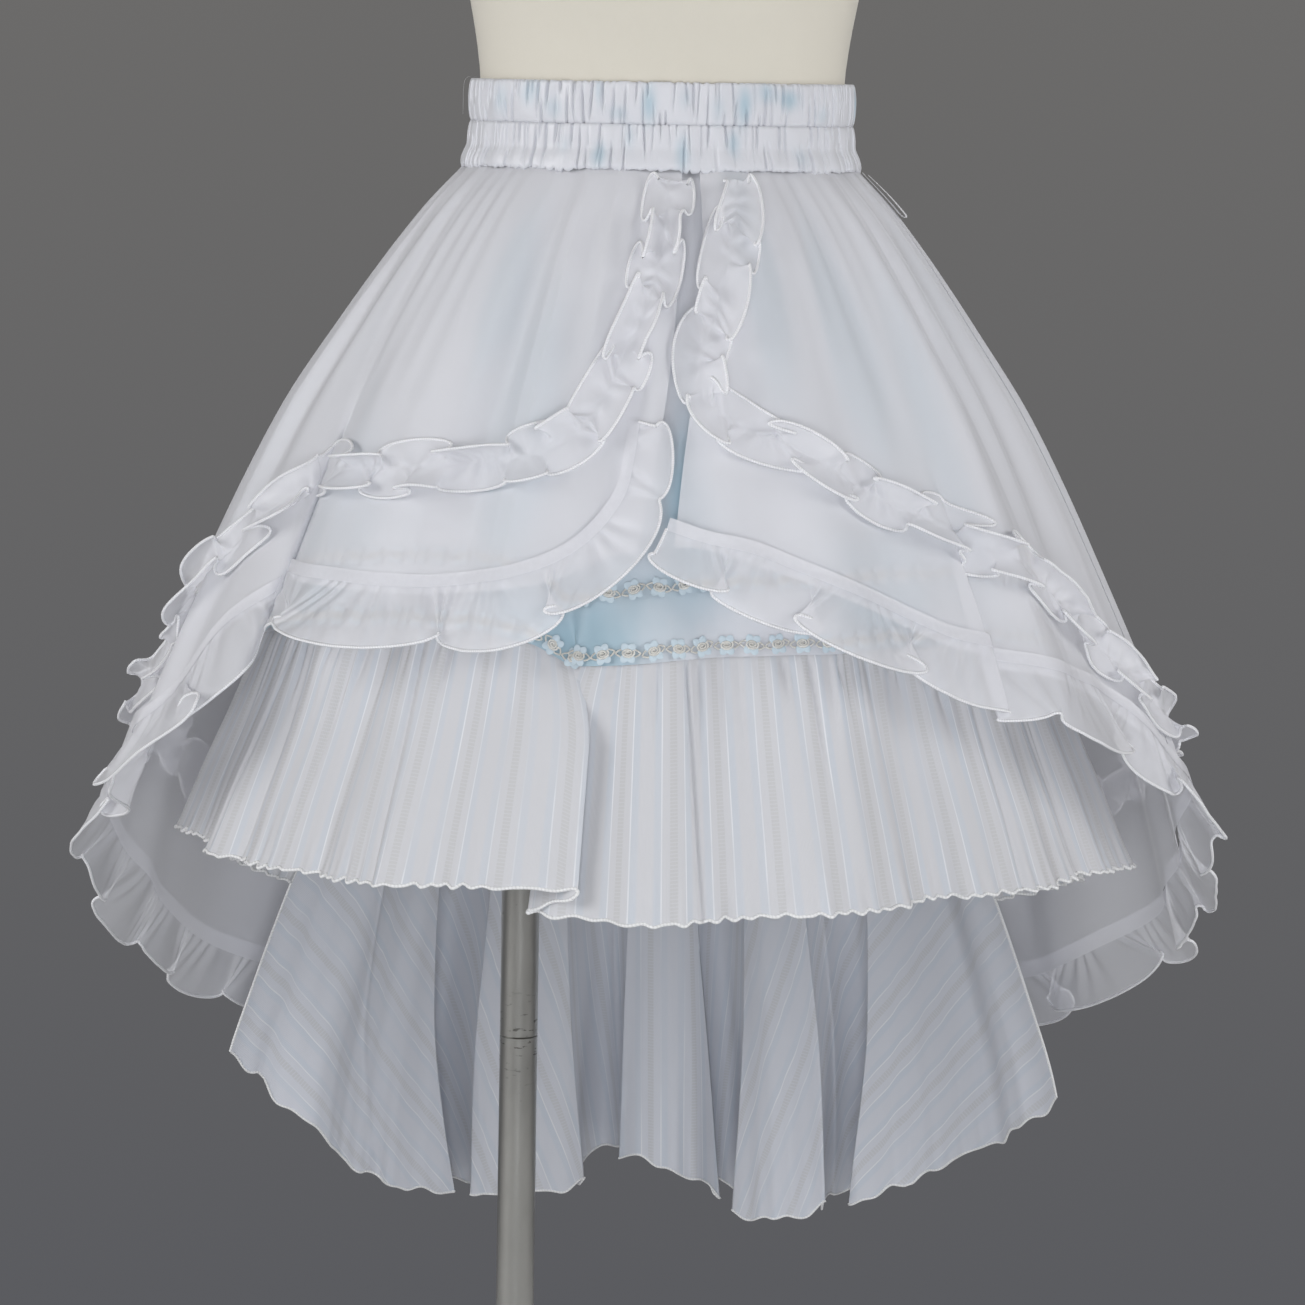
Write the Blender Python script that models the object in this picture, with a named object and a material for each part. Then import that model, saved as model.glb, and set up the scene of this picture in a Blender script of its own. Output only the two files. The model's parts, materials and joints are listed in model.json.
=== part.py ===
"""A high-low bustle skirt with a split organza overskirt, worn on a limbless dress form with a pole stand.

Units are metres and +Z is up. The front of the skirt faces -Y and the origin is the centre of the
base's underside. The cloth is described by an angle round the body, 0 at the front and growing
towards +X, and by a drop, the distance below the top edge of the waistband.
"""

import math
from collections import namedtuple

import bmesh
import bpy
import numpy as np
from mathutils import Vector

# Driving dimensions
WAIST_HEIGHT = 1.040  # the waistband's top edge above the floor
SEAM_GAP = 0.0003  # pieces stand this far apart where they are sewn or seated
CLOTH = 0.0015  # wall of the printed satin and the striped flounces
ORGANZA = 0.0010  # wall of the sheer overskirt and its frills

# Elastic waistband: two shirred casings, one above the other
CASING_HEIGHT = 0.0265
CASING_WALL = 0.0045  # elastic and gathered layers between the gathers
CASING_GATHER = 0.0048  # how far a gather stands out
CASING_GATHERS = 24
CASING_EASE = 0.0005  # between the casing and the dress form
SKIRT_TOP = 2 * CASING_HEIGHT + 2 * SEAM_GAP + 0.0006

# Where the panels meet, in degrees round the body
SIDE_SEAM = 90.0
OVERSKIRT_SEAM = 80.0
TAIL_EDGE = 132.5
SEAM_ALLOWANCE = 0.0006  # each panel stops this far short of a vertical seam

# Frills
TRIM_REACH = 0.018  # the double-edged trim, from its stitching to either edge
TRIM_HEIGHT = 0.009  # how far the trim's waves stand up
HEM_REACH = 0.040  # the hem frill below its stitching
HEM_HEIGHT = 0.014
HEADING = 0.007  # the hem frill's heading above its stitching
FRILL_LIFT = 0.0027  # from the overskirt's middle surface to the frill's
TRIM_WAVES = 36
HEM_WAVES = 34

# Hanger loops of narrow ribbon
LOOP_WIDTH = 0.0035
LOOP_WALL = 0.0010

# Dress form and stand
POLE_X = -0.084
POLE_RADIUS = 0.0125
POLE_JOINT_HEIGHT = 0.413
FORM_BOTTOM_DROP = 0.285
FLANGE_RADIUS = 0.030
FLANGE_HEIGHT = 0.008
SOCKET_RADIUS = 0.024
SOCKET_HEIGHT = 0.025
BASE_RADIUS = 0.190
BASE_HEIGHT = 0.008
BASE_EDGE = 0.002
NECK_PLATE_HEIGHT = 0.006
FORM_SEGMENTS = 36
POLE_SEGMENTS = 24
BASE_SEGMENTS = 48

Section = namedtuple("Section", "drop half_width front back")
Level = namedtuple("Level", "angle drop")
Pleat = namedtuple("Pleat", "angle depth width start")
Waves = namedtuple("Waves", "count phase wander top_depth hem_depth hem_drop")

FORM_SECTIONS = (
    Section(-0.440, 0.052, 0.050, 0.052),
    Section(-0.395, 0.055, 0.053, 0.055),
    Section(-0.375, 0.066, 0.058, 0.060),
    Section(-0.360, 0.100, 0.063, 0.068),
    Section(-0.345, 0.140, 0.067, 0.076),
    Section(-0.325, 0.168, 0.072, 0.083),
    Section(-0.300, 0.180, 0.080, 0.090),
    Section(-0.260, 0.172, 0.098, 0.096),
    Section(-0.210, 0.160, 0.116, 0.098),
    Section(-0.160, 0.150, 0.124, 0.094),
    Section(-0.110, 0.138, 0.114, 0.090),
    Section(-0.052, 0.125, 0.098, 0.087),
    Section(-0.020, 0.1195, 0.0905, 0.0857),
    Section(0.000, 0.1175, 0.088, 0.085),
    Section(0.056, 0.1175, 0.088, 0.085),
    Section(0.085, 0.128, 0.097, 0.095),
    Section(0.120, 0.143, 0.106, 0.110),
    Section(0.160, 0.154, 0.110, 0.120),
    Section(0.200, 0.158, 0.108, 0.122),
    Section(0.240, 0.156, 0.102, 0.116),
    Section(0.270, 0.148, 0.094, 0.106),
    Section(FORM_BOTTOM_DROP, 0.136, 0.084, 0.095),
)

# Underskirt, flounce and tail hang on one flared surface
SKIRT_SECTIONS = (
    Section(SKIRT_TOP, 0.1215, 0.0925, 0.0905),
    Section(0.078, 0.138, 0.110, 0.106),
    Section(0.104, 0.151, 0.126, 0.124),
    Section(0.130, 0.163, 0.140, 0.142),
    Section(0.156, 0.174, 0.153, 0.158),
    Section(0.208, 0.194, 0.176, 0.187),
    Section(0.260, 0.212, 0.199, 0.212),
    Section(0.312, 0.230, 0.222, 0.237),
    Section(0.345, 0.242, 0.235, 0.250),
    Section(0.400, 0.262, 0.253, 0.272),
    Section(0.450, 0.283, 0.270, 0.290),
    Section(0.500, 0.303, 0.287, 0.305),
    Section(0.570, 0.342, 0.305, 0.322),
    Section(0.640, 0.376, 0.318, 0.336),
    Section(0.700, 0.402, 0.328, 0.346),
    Section(0.820, 0.432, 0.342, 0.362),
)

OVERSKIRT_SECTIONS = (
    Section(SKIRT_TOP, 0.1255, 0.0965, 0.0945),
    Section(0.078, 0.147, 0.118, 0.119),
    Section(0.104, 0.167, 0.137, 0.145),
    Section(0.130, 0.185, 0.153, 0.167),
    Section(0.156, 0.202, 0.167, 0.188),
    Section(0.208, 0.235, 0.191, 0.225),
    Section(0.260, 0.262, 0.215, 0.257),
    Section(0.312, 0.286, 0.239, 0.288),
    Section(0.364, 0.309, 0.262, 0.316),
    Section(0.416, 0.331, 0.283, 0.340),
    Section(0.468, 0.349, 0.300, 0.359),
    Section(0.550, 0.370, 0.322, 0.383),
    Section(0.640, 0.389, 0.340, 0.401),
    Section(0.760, 0.407, 0.356, 0.413),
)

# The seam that joins the underskirt to its flounce and tail
FLOUNCE_SEAM = (
    Level(-180, 0.410),
    Level(-134, 0.395),
    Level(-90, 0.362),
    Level(-50, 0.340),
    Level(-28, 0.335),
    Level(-19, 0.340),
    Level(-13, 0.357),
    Level(-7, 0.352),
    Level(5, 0.347),
    Level(25, 0.344),
    Level(50, 0.345),
    Level(90, 0.365),
    Level(134, 0.395),
    Level(180, 0.410),
)

FLOUNCE_HEM = (
    Level(-134, 0.568),
    Level(-110, 0.520),
    Level(-90, 0.492),
    Level(-41, 0.488),
    Level(-15, 0.482),
    Level(-9, 0.498),
    Level(0, 0.500),
    Level(24, 0.494),
    Level(46, 0.493),
    Level(90, 0.506),
    Level(110, 0.530),
    Level(134, 0.570),
)

TAIL_HEM = (
    Level(132.5, 0.715),
    Level(140, 0.748),
    Level(148, 0.776),
    Level(155, 0.803),
    Level(162, 0.818),
    Level(170, 0.828),
    Level(175, 0.806),
    Level(181, 0.790),
    Level(187, 0.808),
    Level(195, 0.812),
    Level(202, 0.811),
    Level(209, 0.793),
    Level(217, 0.753),
    Level(227.5, 0.690),
)

FLOUNCE_GAP = 0.0008  # between the underskirt's lower edge and the flounce

# Underskirt rows as a share of the way to the flounce seam less a rise in metres; the braids fill
# the fourth and the sixth space
UNDERSKIRT_STEP = 5.0
PLEAT_COLUMNS = (-17.5, -12.5, -7.5)
BRAID_THICKNESS = 0.0020
UNDERSKIRT_ROWS = (
    (0.0, 0.0),
    (0.30, 0.0),
    (0.62, 0.0),
    (1.0, 0.048),
    (1.0, 0.040),
    (1.0, 0.011),
    (1.0, 0.003),
    (1.0, 0.0),
)

# The overskirt's hem, also the line of the hem frill's stitching
OVERSKIRT_HEM = (
    Level(-180, 0.700),
    Level(-137, 0.640),
    Level(-107, 0.540),
    Level(-88, 0.458),
    Level(-76, 0.425),
    Level(-68, 0.392),
    Level(-60, 0.330),
    Level(-52, 0.312),
    Level(-31, 0.313),
    Level(-14, 0.303),
    Level(-4, 0.284),
    Level(4, 0.280),
    Level(15, 0.293),
    Level(27, 0.315),
    Level(42, 0.347),
    Level(55, 0.366),
    Level(68, 0.389),
    Level(78, 0.430),
    Level(90, 0.478),
    Level(107, 0.545),
    Level(137, 0.640),
    Level(180, 0.700),
)

# The open front: angle of each front edge at a drop
Opening = namedtuple("Opening", "drop left right")
FRONT_OPENING = (
    Opening(SKIRT_TOP, 6.0, 11.0),
    Opening(0.150, 3.0, 7.5),
    Opening(0.230, 0.0, 4.0),
    Opening(0.300, -3.0, 2.0),
)

# Stitching lines on the overskirt, from the front round to the centre back
Stitch = namedtuple("Stitch", "angle drop reach height lift", defaults=(None, None, 0.0))
TRIM_LEFT = (
    Stitch(2.2, 0.060),
    Stitch(1.6, 0.080),
    Stitch(0.2, 0.105),
    Stitch(-2.4, 0.140),
    Stitch(-5.8, 0.168),
    Stitch(-8.0, 0.190),
    Stitch(-11.0, 0.210),
    Stitch(-17, 0.226),
    Stitch(-26, 0.233),
    Stitch(-37, 0.238),
    Stitch(-54, 0.245),
    Stitch(-66, 0.283),
    Stitch(-77, 0.335),
    Stitch(-88, 0.384),
    Stitch(-107, 0.445),
    Stitch(-137, 0.535),
    Stitch(-180, 0.590),
)
TRIM_RIGHT = (
    Stitch(21, 0.060),
    Stitch(18, 0.080),
    Stitch(14.5, 0.105),
    Stitch(10.6, 0.140),
    Stitch(7.2, 0.168),
    Stitch(7.6, 0.190),
    Stitch(12, 0.207),
    Stitch(20, 0.220),
    Stitch(28, 0.241),
    Stitch(41, 0.269),
    Stitch(54, 0.295),
    Stitch(66, 0.337),
    Stitch(82, 0.400),
    Stitch(107, 0.450),
    Stitch(137, 0.535),
    Stitch(180, 0.590),
)

# The hem frill starts up the left front edge and ends at the right panel's corner, in front of it
HEM_LEFT = (
    Stitch(-2.6, 0.206, 0.022, 0.004),
    Stitch(-3.0, 0.222, 0.026, 0.005),
    Stitch(-3.8, 0.244, 0.027, 0.005),
    Stitch(-6.5, 0.266, 0.028, 0.005),
    Stitch(-12, 0.288, 0.034, 0.009),
    Stitch(-20, 0.301, HEM_REACH, HEM_HEIGHT),
    Stitch(-31, 0.308, HEM_REACH, HEM_HEIGHT),
    Stitch(-52, 0.307, HEM_REACH, HEM_HEIGHT),
    Stitch(-60, 0.325, HEM_REACH, HEM_HEIGHT),
    Stitch(-68, 0.387, HEM_REACH, HEM_HEIGHT),
    Stitch(-76, 0.420, HEM_REACH, HEM_HEIGHT),
    Stitch(-88, 0.453, HEM_REACH, HEM_HEIGHT),
    Stitch(-107, 0.535, HEM_REACH, HEM_HEIGHT),
    Stitch(-137, 0.635, HEM_REACH, HEM_HEIGHT),
    Stitch(-180, 0.695, HEM_REACH, HEM_HEIGHT),
)
HEM_RIGHT = (
    Stitch(1.5, 0.268, 0.030, 0.008, 0.009),
    Stitch(6.0, 0.275, 0.032, 0.010, 0.007),
    Stitch(12, 0.281, 0.036, 0.012, 0.003),
    Stitch(18, 0.292, HEM_REACH, HEM_HEIGHT),
    Stitch(27, 0.310, HEM_REACH, HEM_HEIGHT),
    Stitch(42, 0.342, HEM_REACH, HEM_HEIGHT),
    Stitch(55, 0.361, HEM_REACH, HEM_HEIGHT),
    Stitch(68, 0.382, HEM_REACH, HEM_HEIGHT),
    Stitch(78, 0.425, HEM_REACH, HEM_HEIGHT),
    Stitch(90, 0.473, HEM_REACH, HEM_HEIGHT),
    Stitch(107, 0.540, HEM_REACH, HEM_HEIGHT),
    Stitch(137, 0.635, HEM_REACH, HEM_HEIGHT),
    Stitch(180, 0.695, HEM_REACH, HEM_HEIGHT),
)

# A hanger loop's path: drop and distance out from the surface it hangs on
LoopBend = namedtuple("LoopBend", "drop outward")
LEFT_LOOP = (
    LoopBend(-0.0009, 0.0020),
    LoopBend(-0.0012, 0.0060),
    LoopBend(0.0010, 0.0098),
    LoopBend(0.0100, 0.0109),
    LoopBend(0.0230, 0.0109),
)
RIGHT_LOOP = (
    LoopBend(0.0560, 0.0022),
    LoopBend(0.0700, 0.0026),
    LoopBend(0.0820, 0.0028),
    LoopBend(0.0845, 0.0045),
    LoopBend(0.0820, 0.0062),
    LoopBend(0.0700, 0.0060),
    LoopBend(0.0575, 0.0046),
)
LEFT_LOOP_ANGLE = -86.0
RIGHT_LOOP_ANGLE = 84.0

SKIRT_WAVES = Waves(12, 0.6, 0.5, 0.0008, 0.0065, 0.400)
FLOUNCE_WAVES = Waves(32, 0.3, 1.3, 0.0, 0.0060, 0.150)
TAIL_WAVES = Waves(35, 1.1, 1.2, 0.0, 0.0190, 0.390)
OVERSKIRT_WAVES = Waves(12, 2.1, 0.7, 0.0010, 0.0065, 0.420)

# The deep inward folds that part the front flounce into lobes
SKIRT_PLEATS = (
    Pleat(-11.5, 0.026, 4.0, 0.200),
    Pleat(34.0, 0.009, 4.5, 0.260),
    Pleat(62.0, 0.010, 5.0, 0.260),
    Pleat(-58.0, 0.010, 5.0, 0.260),
)

COLOURS = {
    "satin_print": (0.72, 0.78, 0.84),
    "striped_dobby": (0.80, 0.80, 0.82),
    "organza": (0.84, 0.84, 0.88),
    "frill_organza": (0.88, 0.88, 0.92),
    "flower_braid": (0.66, 0.78, 0.86),
    "ribbon": (0.84, 0.84, 0.86),
    "form_cover": (0.76, 0.71, 0.63),
    "steel": (0.56, 0.56, 0.54),
}
ROUGHNESS = {"satin_print": 0.40, "steel": 0.28}
METALLIC = {"steel": 1.0}


def slopes_through(xs, ys):
    """Slopes of a smooth curve through the points that never overshoots them."""
    steps = np.diff(xs)
    rises = np.diff(ys) / steps
    slopes = np.zeros(len(xs))
    for i in range(1, len(xs) - 1):
        if rises[i - 1] * rises[i] > 0:
            weight_a = 2 * steps[i] + steps[i - 1]
            weight_b = steps[i] + 2 * steps[i - 1]
            slopes[i] = (weight_a + weight_b) / (weight_a / rises[i - 1] + weight_b / rises[i])
    slopes[0] = rises[0]
    slopes[-1] = rises[-1]
    return slopes


class SmoothCurve:
    """A number that follows a short table smoothly, and carries straight on past its ends."""

    def __init__(self, xs, ys):
        self.xs = np.array(xs, float)
        self.ys = np.array(ys, float)
        self.slopes = slopes_through(self.xs, self.ys)

    def at(self, x):
        """The curve's value at x."""
        if x <= self.xs[0]:
            return self.ys[0] + (x - self.xs[0]) * self.slopes[0]
        if x >= self.xs[-1]:
            return self.ys[-1] + (x - self.xs[-1]) * self.slopes[-1]
        i = int(np.searchsorted(self.xs, x)) - 1
        step = self.xs[i + 1] - self.xs[i]
        t = (x - self.xs[i]) / step
        start = self.ys[i] * (1 + 2 * t) * (1 - t) ** 2 + self.slopes[i] * step * t * (1 - t) ** 2
        end = self.ys[i + 1] * t * t * (3 - 2 * t) + self.slopes[i + 1] * step * t * t * (t - 1)
        return start + end


def level_curve(levels):
    """The drop of a seam or hem as a curve over the angle."""
    return SmoothCurve([row.angle for row in levels], [row.drop for row in levels])


def eased(value, low, high):
    """0 below low, 1 above high and a smooth step between them."""
    t = min(max((value - low) / (high - low), 0.0), 1.0)
    return t * t * (3 - 2 * t)


def wave_depth(waves, angle, drop, top=SKIRT_TOP):
    """How far gathers stand out at an angle and a drop, positive outwards."""
    share = min(max((drop - top) / (waves.hem_drop - top), 0.0), 1.4)
    depth = waves.top_depth + (waves.hem_depth - waves.top_depth) * share
    turn = math.radians(angle)
    wander = waves.wander * (math.sin(2 * turn + waves.phase) + 0.6 * math.sin(5 * turn + 1.3))
    return depth * math.cos(waves.count * turn + waves.phase + wander)


def pleat_depth(angle, drop):
    """How far the deep pleats pull the underskirt and flounce inwards."""
    depth = 0.0
    for pleat in SKIRT_PLEATS:
        grown = eased(drop, pleat.start, pleat.start + 0.22)
        depth += pleat.depth * grown * math.exp(-(((angle - pleat.angle) / pleat.width) ** 2))
    return depth


class Loft:
    """A flared surface through half-oval sections, wider at the back than at the front."""

    def __init__(self, sections):
        drops = [row.drop for row in sections]
        self.half_width = SmoothCurve(drops, [row.half_width for row in sections])
        self.front = SmoothCurve(drops, [row.front for row in sections])
        self.back = SmoothCurve(drops, [row.back for row in sections])

    def relief(self, angle, drop):
        """Folds on top of the plain surface, positive outwards."""
        return 0.0

    def point(self, angle, drop, outward=0.0):
        """The point at an angle in degrees and a drop, moved outward from the surface."""
        turn = math.radians(angle)
        side = math.sin(turn)
        forward = math.cos(turn)
        width = self.half_width.at(drop)
        depth = (self.front if forward >= 0 else self.back).at(drop)
        normal = Vector((side / width, -forward / depth, 0)).normalized()
        away = normal * (outward + self.relief(angle, drop))
        return Vector((width * side, -depth * forward, WAIST_HEIGHT - drop)) + away


class SkirtLoft(Loft):
    """The underskirt's surface, which its flounce and tail carry on."""

    def relief(self, angle, drop):
        return wave_depth(SKIRT_WAVES, angle, drop) - pleat_depth(angle, drop)


class FlounceLoft(SkirtLoft):
    """The underskirt's surface below the seam with gathers that open towards the hem."""

    def __init__(self, sections, seam, waves):
        super().__init__(sections)
        self.seam = seam
        self.waves = waves

    def relief(self, angle, drop):
        below = max(drop - self.seam.at(seam_angle(angle)), 0.0)
        gathers = wave_depth(self.waves, angle, below, top=0.0)
        from_seam = abs(abs(seam_angle(angle)) - TAIL_EDGE)
        return super().relief(angle, drop) + gathers * eased(from_seam, 0.0, 5.0)


class OverskirtLoft(Loft):
    """The organza overskirt's surface."""

    def relief(self, angle, drop):
        return wave_depth(OVERSKIRT_WAVES, angle, drop)


def seam_angle(angle):
    """The same direction as an angle from -180 to 180."""
    return (angle + 180.0) % 360.0 - 180.0


def spread(low, high, count):
    """count numbers from low to high, both included."""
    return [low + (high - low) * i / (count - 1) for i in range(count)]


def make_material(name):
    """A plain finish in the piece's colour."""
    found = bpy.data.materials.get(name)
    if found:
        return found
    finish = bpy.data.materials.new(name)
    finish.use_nodes = True
    shader = finish.node_tree.nodes["Principled BSDF"]
    shader.inputs["Base Color"].default_value = (*COLOURS[name], 1.0)
    shader.inputs["Roughness"].default_value = ROUGHNESS.get(name, 0.75)
    shader.inputs["Metallic"].default_value = METALLIC.get(name, 0.0)
    return finish


def add_object(name, mesh, finish):
    """Links a mesh to the scene under its node's name."""
    mesh.shade_smooth()
    mesh.set_sharp_from_angle(angle=math.radians(50))
    mesh.materials.append(make_material(finish))
    made = bpy.data.objects.new(name, mesh)
    bpy.context.scene.collection.objects.link(made)
    return made


def add_cloth(name, grid, wall, finish):
    """A cloth panel: rows of points down its middle surface, thickened to a wall on both sides."""
    shape = bmesh.new()
    rows = [[shape.verts.new(point) for point in row] for row in grid]
    for upper, lower in zip(rows, rows[1:]):
        for i in range(len(upper) - 1):
            shape.faces.new((upper[i], lower[i], lower[i + 1], upper[i + 1]))
    mesh = bpy.data.meshes.new(name)
    shape.to_mesh(mesh)
    shape.free()
    panel = add_object(name, mesh, finish)
    thicken = panel.modifiers.new("Wall", "SOLIDIFY")
    thicken.thickness = wall
    thicken.offset = 0.0
    thicken.use_rim = True
    return panel


def add_ring(name, profiles, finish):
    """A closed band: one closed outline of points for each angle, joined all round."""
    shape = bmesh.new()
    loops = [[shape.verts.new(point) for point in outline] for outline in profiles]
    for here, there in zip(loops, loops[1:] + loops[:1]):
        for i, corner in enumerate(here):
            after = (i + 1) % len(here)
            shape.faces.new((corner, here[after], there[after], there[i]))
    bmesh.ops.recalc_face_normals(shape, faces=shape.faces)
    mesh = bpy.data.meshes.new(name)
    shape.to_mesh(mesh)
    shape.free()
    return add_object(name, mesh, finish)


def add_stack(name, rings, finish):
    """A solid through closed rings of points, capped at both ends."""
    shape = bmesh.new()
    loops = [[shape.verts.new(point) for point in ring] for ring in rings]
    for upper, lower in zip(loops, loops[1:]):
        for i, corner in enumerate(upper):
            after = (i + 1) % len(upper)
            shape.faces.new((corner, lower[i], lower[after], upper[after]))
    shape.faces.new(loops[0])
    shape.faces.new(list(reversed(loops[-1])))
    bmesh.ops.recalc_face_normals(shape, faces=shape.faces)
    mesh = bpy.data.meshes.new(name)
    shape.to_mesh(mesh)
    shape.free()
    return add_object(name, mesh, finish)


def circle(x, z, radius, segments):
    """A level ring of points round the pole's or the base's axis."""
    turns = [2 * math.pi * i / segments for i in range(segments)]
    return [Vector((x + radius * math.cos(a), radius * math.sin(a), z)) for a in turns]


def add_round(name, x, rows, segments, finish):
    """A turned piece from (height, radius) rows."""
    return add_stack(name, [circle(x, z, r, segments) for z, r in rows], finish)


def build_stand():
    """Base plate, pole socket, the pole's two lengths and the flange under the form."""
    add_round(
        "stand_base",
        0.0,
        (
            (0.0, BASE_RADIUS - BASE_EDGE),
            (BASE_EDGE, BASE_RADIUS),
            (BASE_HEIGHT - BASE_EDGE, BASE_RADIUS),
            (BASE_HEIGHT, BASE_RADIUS - BASE_EDGE),
        ),
        BASE_SEGMENTS,
        "steel",
    )
    socket_low = BASE_HEIGHT + SEAM_GAP
    socket_top = socket_low + SOCKET_HEIGHT
    add_round(
        "pole_socket",
        POLE_X,
        (
            (socket_low, SOCKET_RADIUS),
            (socket_top - BASE_EDGE, SOCKET_RADIUS),
            (socket_top, SOCKET_RADIUS - BASE_EDGE),
        ),
        POLE_SEGMENTS,
        "steel",
    )
    flange_top = WAIST_HEIGHT - FORM_BOTTOM_DROP - SEAM_GAP
    flange_low = flange_top - FLANGE_HEIGHT
    add_round(
        "form_flange",
        POLE_X,
        ((flange_low, FLANGE_RADIUS), (flange_top, FLANGE_RADIUS)),
        POLE_SEGMENTS,
        "steel",
    )
    lengths = {
        "pole_lower": (socket_top + SEAM_GAP, POLE_JOINT_HEIGHT),
        "pole_upper": (POLE_JOINT_HEIGHT + SEAM_GAP, flange_low - SEAM_GAP),
    }
    for name, (low, high) in lengths.items():
        rows = ((low, POLE_RADIUS), (high, POLE_RADIUS))
        add_round(name, POLE_X, rows, POLE_SEGMENTS, "steel")


def build_form():
    """The smooth limbless torso and the plate that closes its neck."""
    loft = Loft(FORM_SECTIONS)
    angles = [360.0 * i / FORM_SEGMENTS for i in range(FORM_SEGMENTS)]
    rings = [[loft.point(a, row.drop) for a in angles] for row in FORM_SECTIONS]
    add_stack("form_torso", rings, "form_cover")
    neck_low = -FORM_SECTIONS[0].drop + SEAM_GAP
    plate = []
    for height, inset in ((neck_low, 0.001), (neck_low + NECK_PLATE_HEIGHT, 0.004)):
        neck = [loft.point(a, FORM_SECTIONS[0].drop, -inset) for a in angles]
        plate.append([Vector((p.x, p.y, WAIST_HEIGHT + height)) for p in neck])
    add_stack("form_neck_plate", plate, "steel")


def build_waistband():
    """Two shirred elastic casings: plain inside, gathers raised on the outer points."""
    loft = Loft(FORM_SECTIONS)
    samples = 3 * CASING_GATHERS
    names = ("waistband_upper", "waistband_lower")
    for index, name in enumerate(names):
        top = index * (CASING_HEIGHT + SEAM_GAP)
        profiles = []
        for i in range(samples):
            angle = 360.0 * i / samples
            crest = 1.0 if (i + index) % 3 == 0 else 0.0
            puffed = CASING_EASE + CASING_WALL + CASING_GATHER * (0.25 + 0.75 * crest)
            pinched = CASING_EASE + CASING_WALL
            outline = (
                (0.0, CASING_EASE),
                (CASING_HEIGHT, CASING_EASE),
                (CASING_HEIGHT, pinched),
                (CASING_HEIGHT * 0.5, puffed),
                (0.0, pinched),
            )
            waist = [loft.point(angle, 0.028, outward) for _, outward in outline]
            heights = [WAIST_HEIGHT - top - down for down, _ in outline]
            profiles.append([Vector((p.x, p.y, z)) for p, z in zip(waist, heights)])
        add_ring(name, profiles, "satin_print")


def seam_step(loft, angle, drop):
    """The seam allowance as an angle at this drop."""
    per_degree = (loft.point(angle + 0.5, drop) - loft.point(angle - 0.5, drop)).length
    return SEAM_ALLOWANCE / per_degree


def panel_row(loft, angles, drop_at, outward=0.0):
    """A row of points across a panel whose two ends stop short of the seams."""
    row = [loft.point(a, drop_at(a), outward) for a in angles]
    for i, side in ((0, 1), (-1, -1)):
        angle = angles[i] + side * seam_step(loft, angles[i], drop_at(angles[i]))
        row[i] = loft.point(angle, drop_at(angle), outward)
    return row


def panel_grid(loft, angles, top, hem, rows):
    """Rows of points from a top line to a hem line, both functions of the angle."""
    grid = []
    for share in spread(0.0, 1.0, rows):
        grid.append(panel_row(loft, angles, lambda a: top(a) + (hem(a) - top(a)) * share))
    return grid


def grid_normals(grid):
    """The outward direction at every point of a panel's grid."""
    normals = []
    for r, row in enumerate(grid):
        above = grid[max(r - 1, 0)]
        below = grid[min(r + 1, len(grid) - 1)]
        line = []
        for c in range(len(row)):
            across = row[min(c + 1, len(row) - 1)] - row[max(c - 1, 0)]
            line.append((below[c] - above[c]).cross(across).normalized())
        normals.append(line)
    return normals


def underskirt_angles(start, end):
    """The underskirt's columns, closer together where the front flounce folds deeply."""
    plain = [start + UNDERSKIRT_STEP * i for i in range(round((end - start) / UNDERSKIRT_STEP) + 1)]
    return sorted(plain + [a for a in PLEAT_COLUMNS if start < a < end])


def underskirt_grid(start, end):
    """An underskirt panel's points, with rows along the edges of both braids."""
    loft = SkirtLoft(SKIRT_SECTIONS)
    seam = level_curve(FLOUNCE_SEAM)
    grid = []
    for share, rise in UNDERSKIRT_ROWS:

        def drop_at(angle, share=share, rise=rise):
            return SKIRT_TOP + (seam.at(seam_angle(angle)) - SKIRT_TOP) * share - rise

        grid.append(panel_row(loft, underskirt_angles(start, end), drop_at))
    return grid


def build_underskirt():
    """Printed satin front and back panels, and the two rows of flower braid sewn round them."""
    front = underskirt_grid(-SIDE_SEAM, SIDE_SEAM)
    back = underskirt_grid(SIDE_SEAM, 360.0 - SIDE_SEAM)
    add_cloth("underskirt_front", front, CLOTH, "satin_print")
    add_cloth("underskirt_back", back, CLOTH, "satin_print")
    near = CLOTH / 2 + SEAM_GAP + 0.0002
    far = near + BRAID_THICKNESS
    for name, top_row in (("braid_upper", 3), ("braid_lower", 5)):
        profiles = []
        for grid in (front, back):
            normals = grid_normals(grid)
            for c in range(len(grid[0])):
                top, low = grid[top_row][c], grid[top_row + 1][c]
                top_out, low_out = normals[top_row][c], normals[top_row + 1][c]
                profiles.append(
                    [
                        top + top_out * near,
                        top + top_out * far,
                        low + low_out * far,
                        low + low_out * near,
                    ]
                )
        add_ring(name, profiles, "flower_braid")


def seam_point(loft, seam, angle, drop):
    """A point below the flounce seam, where the flounce follows the underskirt's straight edges."""
    columns = underskirt_angles(-180.0, 180.0)
    turn = seam_angle(angle)
    after = next(i for i, column in enumerate(columns) if column >= turn - 1e-9)
    after = max(after, 1)
    low, high = columns[after - 1], columns[after]
    share = (turn - low) / (high - low)
    extra = drop - seam.at(turn)
    ends = [loft.point(a, seam.at(a) + extra) for a in (low, high)]
    return ends[0].lerp(ends[1], share)


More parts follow.
